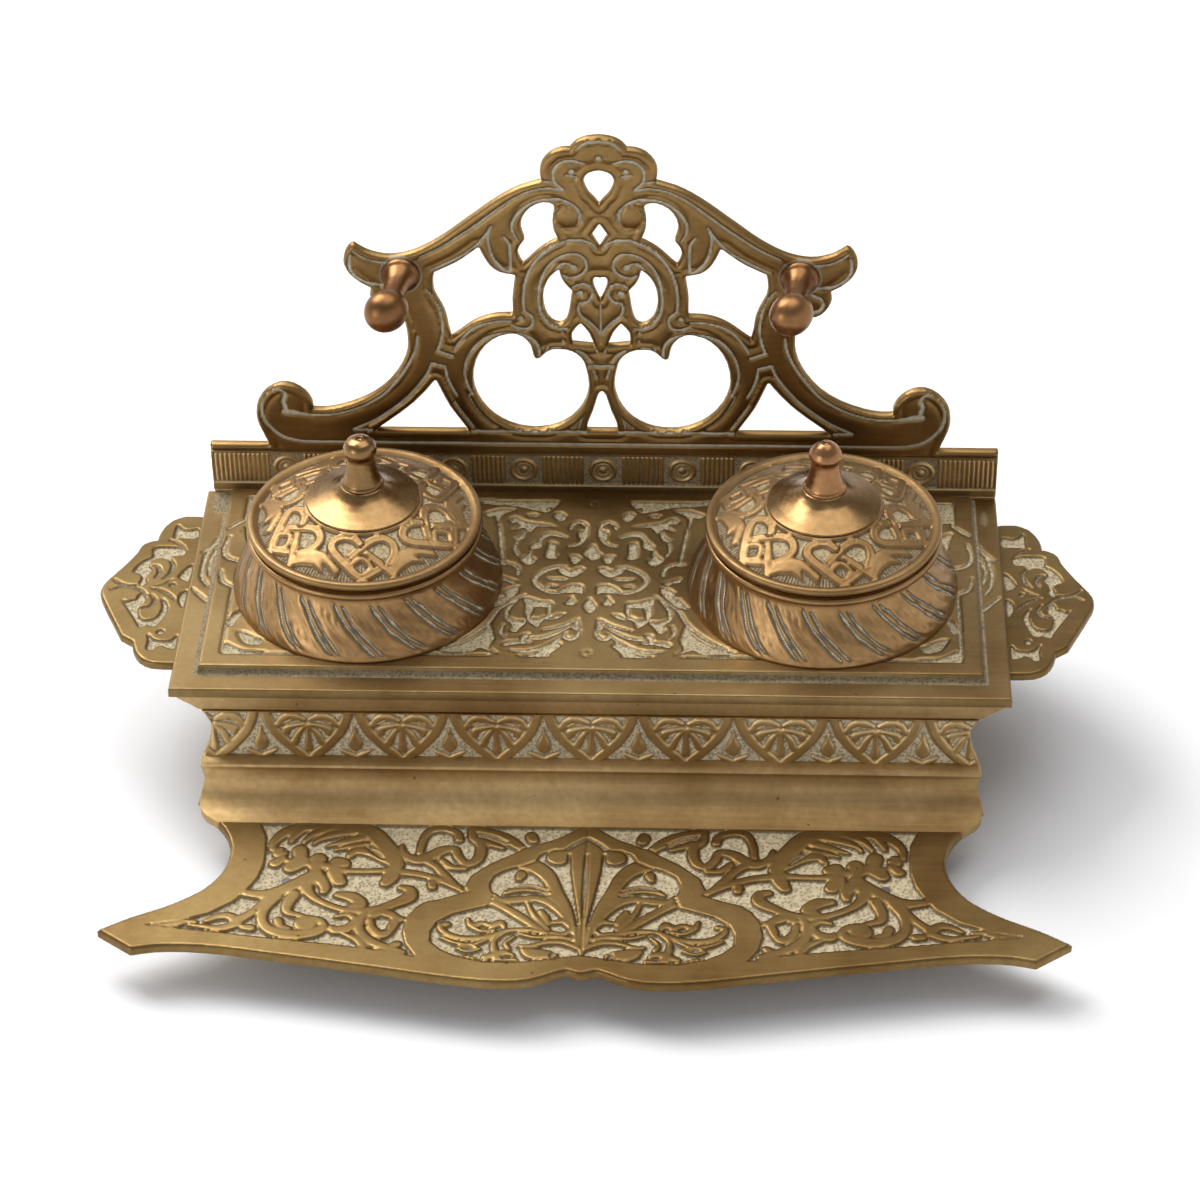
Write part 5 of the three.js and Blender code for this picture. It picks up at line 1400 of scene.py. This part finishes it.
def carve_turned(bm, carve):
    """Moves the vertices of a spun piece. carve(angle, radius, height) gives shifts and relief."""
    points = grid_points(bm)
    angle = np.arctan2(points[:, 1], points[:, 0])
    radius = np.hypot(points[:, 0], points[:, 1])
    outward, upward, relief = carve(angle, radius, points[:, 2])
    mark = bm.verts.layers.float.new("relief")
    for v, a, r, dr, dz, worn in zip(bm.verts, angle, radius, outward, upward, relief):
        if r > 0.01:
            v.co.x += dr * math.cos(a)
            v.co.y += dr * math.sin(a)
        v.co.z += dz
        v[mark] = worn
    return bm


def carve_well(angle, radius, height):
    """Pairs of slanting cuts and a bark-like skin on the flared wall."""
    down = (WALL_TOP - height) / (WALL_TOP - WALL_FOOT)
    wall = (radius > 36.2) & (down > 0) & (down < 1)
    fade = np.clip(np.minimum(down / 0.12, (1 - down) / 0.1), 0, 1)
    slanted = angle - CUT_SLANT * down ** 1.15
    turn_share = np.mod(slanted * CUT_PAIRS / (2 * math.pi), 1)
    wobble = 0.018 * np.sin(0.45 * height + 5 * slanted)
    cut = np.zeros(angle.shape)
    for place, depth in ((0.34, 1.0), (0.56, 0.75)):
        cut = np.maximum(cut, depth * np.exp(-((turn_share - place - wobble) / 0.054) ** 2))
    bark = (0.5 + 0.5 * np.sin(slanted * 130 + 2.2 * np.sin(0.6 * height + 7 * slanted))) * (
        0.6 + 0.4 * np.sin(0.9 * height + 31 * slanted))
    swell = 0.25 * np.sin(math.pi * turn_share)
    inward = np.where(wall, fade * (0.9 * cut + 0.25 * bark - swell), 0)
    worn = np.where(wall, 1 - fade * (1.35 * cut + 0.62 * bark), 1)
    return -inward, np.zeros(angle.shape), np.clip(worn, 0, 1)

# %% [markdown]
# ## Turning the wells
# The section runs from the underside up the flared wall, over the rim ring and down the inside
# to the floor. The hole in the underside is for the screw that holds the well.

# %% Wells
WELL_STEPS = 480
well_foot = rounded([(0, 5.9), (2.7, 5.9), (2.7, 2.9), (44.4, 2.9), (44.5, 3.4)], 0.3)
well_wall = [tuple(p) for p in smooth_line([
    (44.4, 3.9), (43.7, 6.4), (42.2, 10), (40, 14), (37.9, 17.6), (36.7, 20.6), (36.5, 22.4)],
    spacing=0.55)]
well_rim = rounded([
    (36.6, 22.8), (37, 23.4), (38.2, 23.6), (38.7, 24.3), (38.7, 25.3), (38.1, 26), (35.2, 26),
    (35.2, 24.2), (33.4, 24.2), (33.4, 20.5), (35.2, 16), (38.2, 11), (39.6, 8.4), (38.6, 6.9),
    (0, 6.9)], 0.5)
for side, way in SIDES:
    well = turned(well_foot + well_wall + well_rim, WELL_STEPS)
    carve_turned(well, carve_well)
    well.transform(over_well(way))
    hand_over(well, f"cast_well_{side}", "base", [f"well_{side}"], well_brass, "aged_brass", sharp=50)

# %% [markdown]
# ## Lids
# The lid's shoulder carries strapwork: six times over, two ribbons loop round each other,
# cross a third and tie a small square knot, between plain star points. The ground near the
# rim is hatched, the ground inside is stippled. The drawing is one sixth, seen from the rim.

# %% Lid ornament
LID_REPEATS = 6
LID_FIELD = (19.0, 35.4)
LID_TURN = {"left": 0.0, "right": 0.12}
SLOPE_TOP = (18.8, 36.3)
SLOPE_FALL = 0.43
HATCHED_FROM = 27.5
strap_a = [(0.6, -22.2, 1.2), (-1.2, -20.6, 1.25), (-4.2, -19.9, 1.25), (-7.3, -20.6, 1.3),
           (-8.5, -22.6, 1.3), (-7.5, -25, 1.3), (-5, -27.8, 1.3), (-2.9, -30, 1.3), (-0.8, -32.1, 1.3),
           (1.2, -33.6, 1.3), (3.3, -33.5, 1.2), (5.4, -32.1, 1.2), (7.9, -30.4, 1.1)]
strap_b = [(-3.6, -28.4, 1.2), (-0.8, -25.7, 1.3), (1.7, -23.3, 1.3), (4.6, -21, 1.3), (6.9, -19.9, 1.3),
           (9.6, -20, 1.3), (11.6, -21.4, 1.3), (12.1, -23.4, 1.3), (11.9, -25.6, 1.2), (10.8, -28, 1.2)]
strap_c = [(2.6, -25.2, 1.1), (5.8, -27.4, 1.2), (8.8, -29.4, 1.2), (12.2, -31.9, 1.2)]
knot = [(-1.7, -29.6, 0.8), (1.8, -27.4, 0.8), (4.9, -30.4, 0.8), (2.9, -33, 0.8)]
star_points = [
    [(-20.6, -22.6), (-12.6, -23.4), (-10, -24.6), (-8, -27.4), (-4.9, -31.2), (-6.4, -33.6), (-9.4, -29.8),
     (-12.4, -27.2), (-16.5, -26.2), (-20.8, -26.8)],
    [(12.4, -33.4), (15, -29.4), (18, -26.6), (22, -25.4), (17, -22.6), (14.4, -23.6), (13.2, -26.2),
     (12.2, -29)],
]

# %% [markdown]
# ## Carving the strapwork
# Where two ribbons cross, the lower one is cut back on both sides of the upper one, and a faint
# line marks the middle of the upper one. The carved part of the lid is the sloping shoulder.
# Its vertices move along the slope's normal, which leans outward.

# %% Carving the lids
def unit_field(angle, radius, draw):
    """The nearest value of a drawing repeated round the lid, a sixth of a turn apart."""
    pitch = 2 * math.pi / LID_REPEATS
    local = np.mod(angle + math.pi / 2 + pitch / 2, pitch) - pitch / 2
    best = np.full(angle.shape, FAR)
    for turn_by in (-pitch, 0, pitch):
        a = local + turn_by
        best = np.minimum(best, draw(radius * np.sin(a), -radius * np.cos(a)))
    return best


def carve_lid(angle, radius, height):
    """Strapwork on the lid's shoulder."""
    top = (height > 29) & (radius > LID_FIELD[0] - 1.5) & (radius < LID_FIELD[1] + 1.2) & (
        height > SLOPE_TOP[1] - SLOPE_FALL * (radius - SLOPE_TOP[0]) - 0.6)
    a, r = angle[top], radius[top]
    one, two, three, tie = [unit_field(a, r, lambda x, y: stems(x, y, [line]) - 0.25)
                            for line in (strap_a, strap_b, strap_c, knot)]
    stars = unit_field(a, r, lambda x, y: patches(x, y, star_points, False))
    motif = np.maximum.reduce([crowned(f, 0.4, 1.2, 0.72) for f in (one, two, three, tie)]
                              + [crowned(stars, 0.4, 1.5, 0.74)])
    for over, under in ((one, two), (two, three), (three, one), (tie, three)):
        motif = motif - 0.75 * step(abs(over - 0.15) - 0.15, 0.4) * step(under, 0.3)
        motif = motif - 0.3 * step(abs(over + 1.25) - 0.1, 0.4) * step(over, 0.3)
    ring = np.maximum(step(r - LID_FIELD[0] - 0.6, 0.5), step(LID_FIELD[1] - 0.2 - r, 0.5))
    motif = np.maximum(np.clip(motif, 0, 1), ring)
    hatch = np.where(r > HATCHED_FROM, 0.5 + 0.5 * np.sin(a * 190), 0) * (1 - motif)
    depth = np.zeros(angle.shape)
    worn = np.ones(angle.shape)
    depth[top] = 1.1 * (1 - motif) - 0.35 * hatch
    worn[top] = 1.5 * motif + 0.3 * hatch
    return -0.39 * depth, -0.92 * depth, np.clip(worn, 0, 1)

# %% [markdown]
# ## Turning the lids
# Both lids are one pattern. The right one is turned a little on its well, as lids that lift off
# are put back at any angle. Each rides on a body of its own.

# %% Lids
LID_STEPS = 400
lid_slope = [tuple(p) for p in smooth_line([(35.4, 29.25), (30, 31.6), (24.5, 33.95), SLOPE_TOP],
                                           spacing=0.5)]
lid_rim = rounded([
    (0, 33.9), (18.2, 33.9), (28.2, 29.9), (28.2, 22.5), (30.2, 22.5), (30.2, 26), (36.6, 26),
    (36.7, 27), (37.6, 27), (38.3, 27.6), (38.57, 28.5), (38.3, 29.4), (37.6, 29.9), (36.5, 29.9),
    (35.8, 29.5)], 0.4)
lid_pattern = turned(lid_rim + lid_slope + [(0, SLOPE_TOP[1])], LID_STEPS)
carve_turned(lid_pattern, carve_lid)
for side, way in SIDES:
    lid = lid_pattern.copy()
    lid.transform(over_well(way) @ Matrix.Rotation(LID_TURN[side], 4, "Z"))
    hand_over(lid, f"cast_lid_{side}", f"lid_{side}", [f"lid_{side}"], lid_brass, "aged_brass", sharp=60)
lid_pattern.free()

# %% [markdown]
# ## Finials
# The finial is a wide concave cone with a spool neck and a small head, domed on the left and
# pointed on the right. Cone and knob were turned, and they ride on their lid.

# %% Finials
TURNED_STEPS = 64
CONE_STEPS = 128
KNOB_TOP = 60.4
cone_section = rounded([
    (0, 36.3), (18.4, 36.3), (18.8, 36.7), (18.5, 37.1), (15.2, 38), (12, 39.2), (9.5, 40.5),
    (7.8, 41.8), (6.9, 42.8), (0, 42.8)], 0.8)
knob_neck = [(0, 42.8), (6.9, 42.8), (6.9, 43.6), (6.3, 44.3), (5.6, 46.4), (4.9, 49.4),
             (4.5, 52.2), (4.5, 53.6)]
knob_heads = {
    "left": [(5, 5.8), (5.4, 5.2), (5.5, 4.2), (5.2, 2.6), (4.2, 1.2), (2.6, 0.3), (0.9, 0),
             (0.9, 0.8), (0, 1)],
    "right": [(5, 5.9), (5.4, 5.2), (5.4, 4.2), (4.5, 2.4), (3, 0.9), (1.7, 0.1), (0.8, 0),
              (0.8, 0.7), (0, 0.9)],
}
knob_metals = {"left": (turned_brass, "turned_brass"), "right": (coppery_brass, "coppery_brass")}


def finial(side, way):
    """The cone and the knob of one lid."""
    cone = turned(cone_section, CONE_STEPS)
    cone.transform(over_well(way))
    hand_over(cone, f"turned_cone_{side}", f"lid_{side}", [f"finial_cone_{side}"], turned_brass,
              "turned_brass")
    head = [(r, KNOB_TOP - below) for r, below in knob_heads[side]]
    knob = turned(rounded(knob_neck + head, 0.7), TURNED_STEPS)
    knob.transform(over_well(way))
    hand_over(knob, f"turned_knob_{side}", f"lid_{side}", [f"finial_knob_{side}"],
              *knob_metals[side])

# %% [markdown]
# ## Pegs
# A pen rest is a ball on a flared stem that stands out from the face of the gallery. Both pegs
# lean a little to the left from use.

# %% Pegs
PEG_REACH, PEG_BALL, PEG_LEAN = 21.5, 7.1, -3.0
PEG_STEM = 3.9
peg_neck = [(0, 0.0), (6.4, 0.0), (6.4, 0.7), (6.1, 1.4), (5.4, 2.3), (4.8, 3.8), (4.3, 5.4),
            (4, 7), (3.7, 11), (PEG_STEM, 15.6)]


def pen_peg(side, way):
    """A peg that is turned upright, then laid to the front and leaned."""
    opening = math.asin(PEG_STEM / PEG_BALL)
    ball = [(PEG_BALL * math.sin(a), PEG_REACH - PEG_BALL * math.cos(a))
            for a in np.linspace(opening, math.pi, 22)]
    ball[-1] = (0, PEG_REACH + PEG_BALL)
    peg = turned(rounded(peg_neck, 0.5)[:-1] + ball, TURNED_STEPS)
    for v in peg.verts:
        v.co = Vector((v.co.x + PEG_LEAN * v.co.z / PEG_REACH, -v.co.z, v.co.y))
    peg.transform(Matrix.Translation((way * PEG_X + GALLERY_SHIFT, GALLERY_FRONT, PEG_Z)))
    hand_over(peg, f"turned_peg_{side}", "base", [f"peg_{side}"], peg_brass, "turned_brass")

# %% [markdown]
# ## Liners and feet
# A pot of pressed glass hangs by its lip in each well. Four turned feet carry the plinth, two
# at the front and two at the back, which stand a little further apart.

# %% Liners and feet
LINER_STEPS = 96
FOOT_PLACES = (("front", 95, -97), ("back", 100, 38))
liner_section = rounded([
    (0, 7.2), (32.9, 7.2), (32.9, 24.2), (34.9, 24.2), (34.9, 25.7), (30.6, 25.7), (30.6, 10.4),
    (29.4, 9.4), (0, 9.4)], 0.6)
foot_section = rounded([
    (0, -45.4), (8.5, -45.4), (8.5, -46.8), (7.3, -48), (9.3, -51), (9.3, -54), (7.4, -58),
    (6.4, -60.4), (3.9, -60.4), (3.9, -56.9), (0, -56.9)], 0.7)


def liner_and_feet(side, way):
    """The ink pot and the two feet of one side."""
    liner = turned(liner_section, LINER_STEPS)
    liner.transform(over_well(way))
    hand_over(liner, f"glass_liner_{side}", "base", [f"liner_{side}"], glass, "glass")
    for end, x, y in FOOT_PLACES:
        foot = turned(foot_section, TURNED_STEPS)
        foot.transform(Matrix.Translation((way * x, y, 0)))
        hand_over(foot, f"turned_foot_{side}_{end}", "base", [f"foot_{side}_{end}"], plain_brass,
                  "aged_brass")

# %% [markdown]
# ## Both sides, and the screws
# The turned pieces are made for the left side and then for the right. Screws and nuts keep
# their CAD solids and get a dull steel.

# %% Turned pieces and screws
for side, way in SIDES:
    finial(side, way)
    pen_peg(side, way)
    liner_and_feet(side, way)
for name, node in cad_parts.items():
    if "screw" in name or "nut" in name:
        node.material_slots[0].material = steel
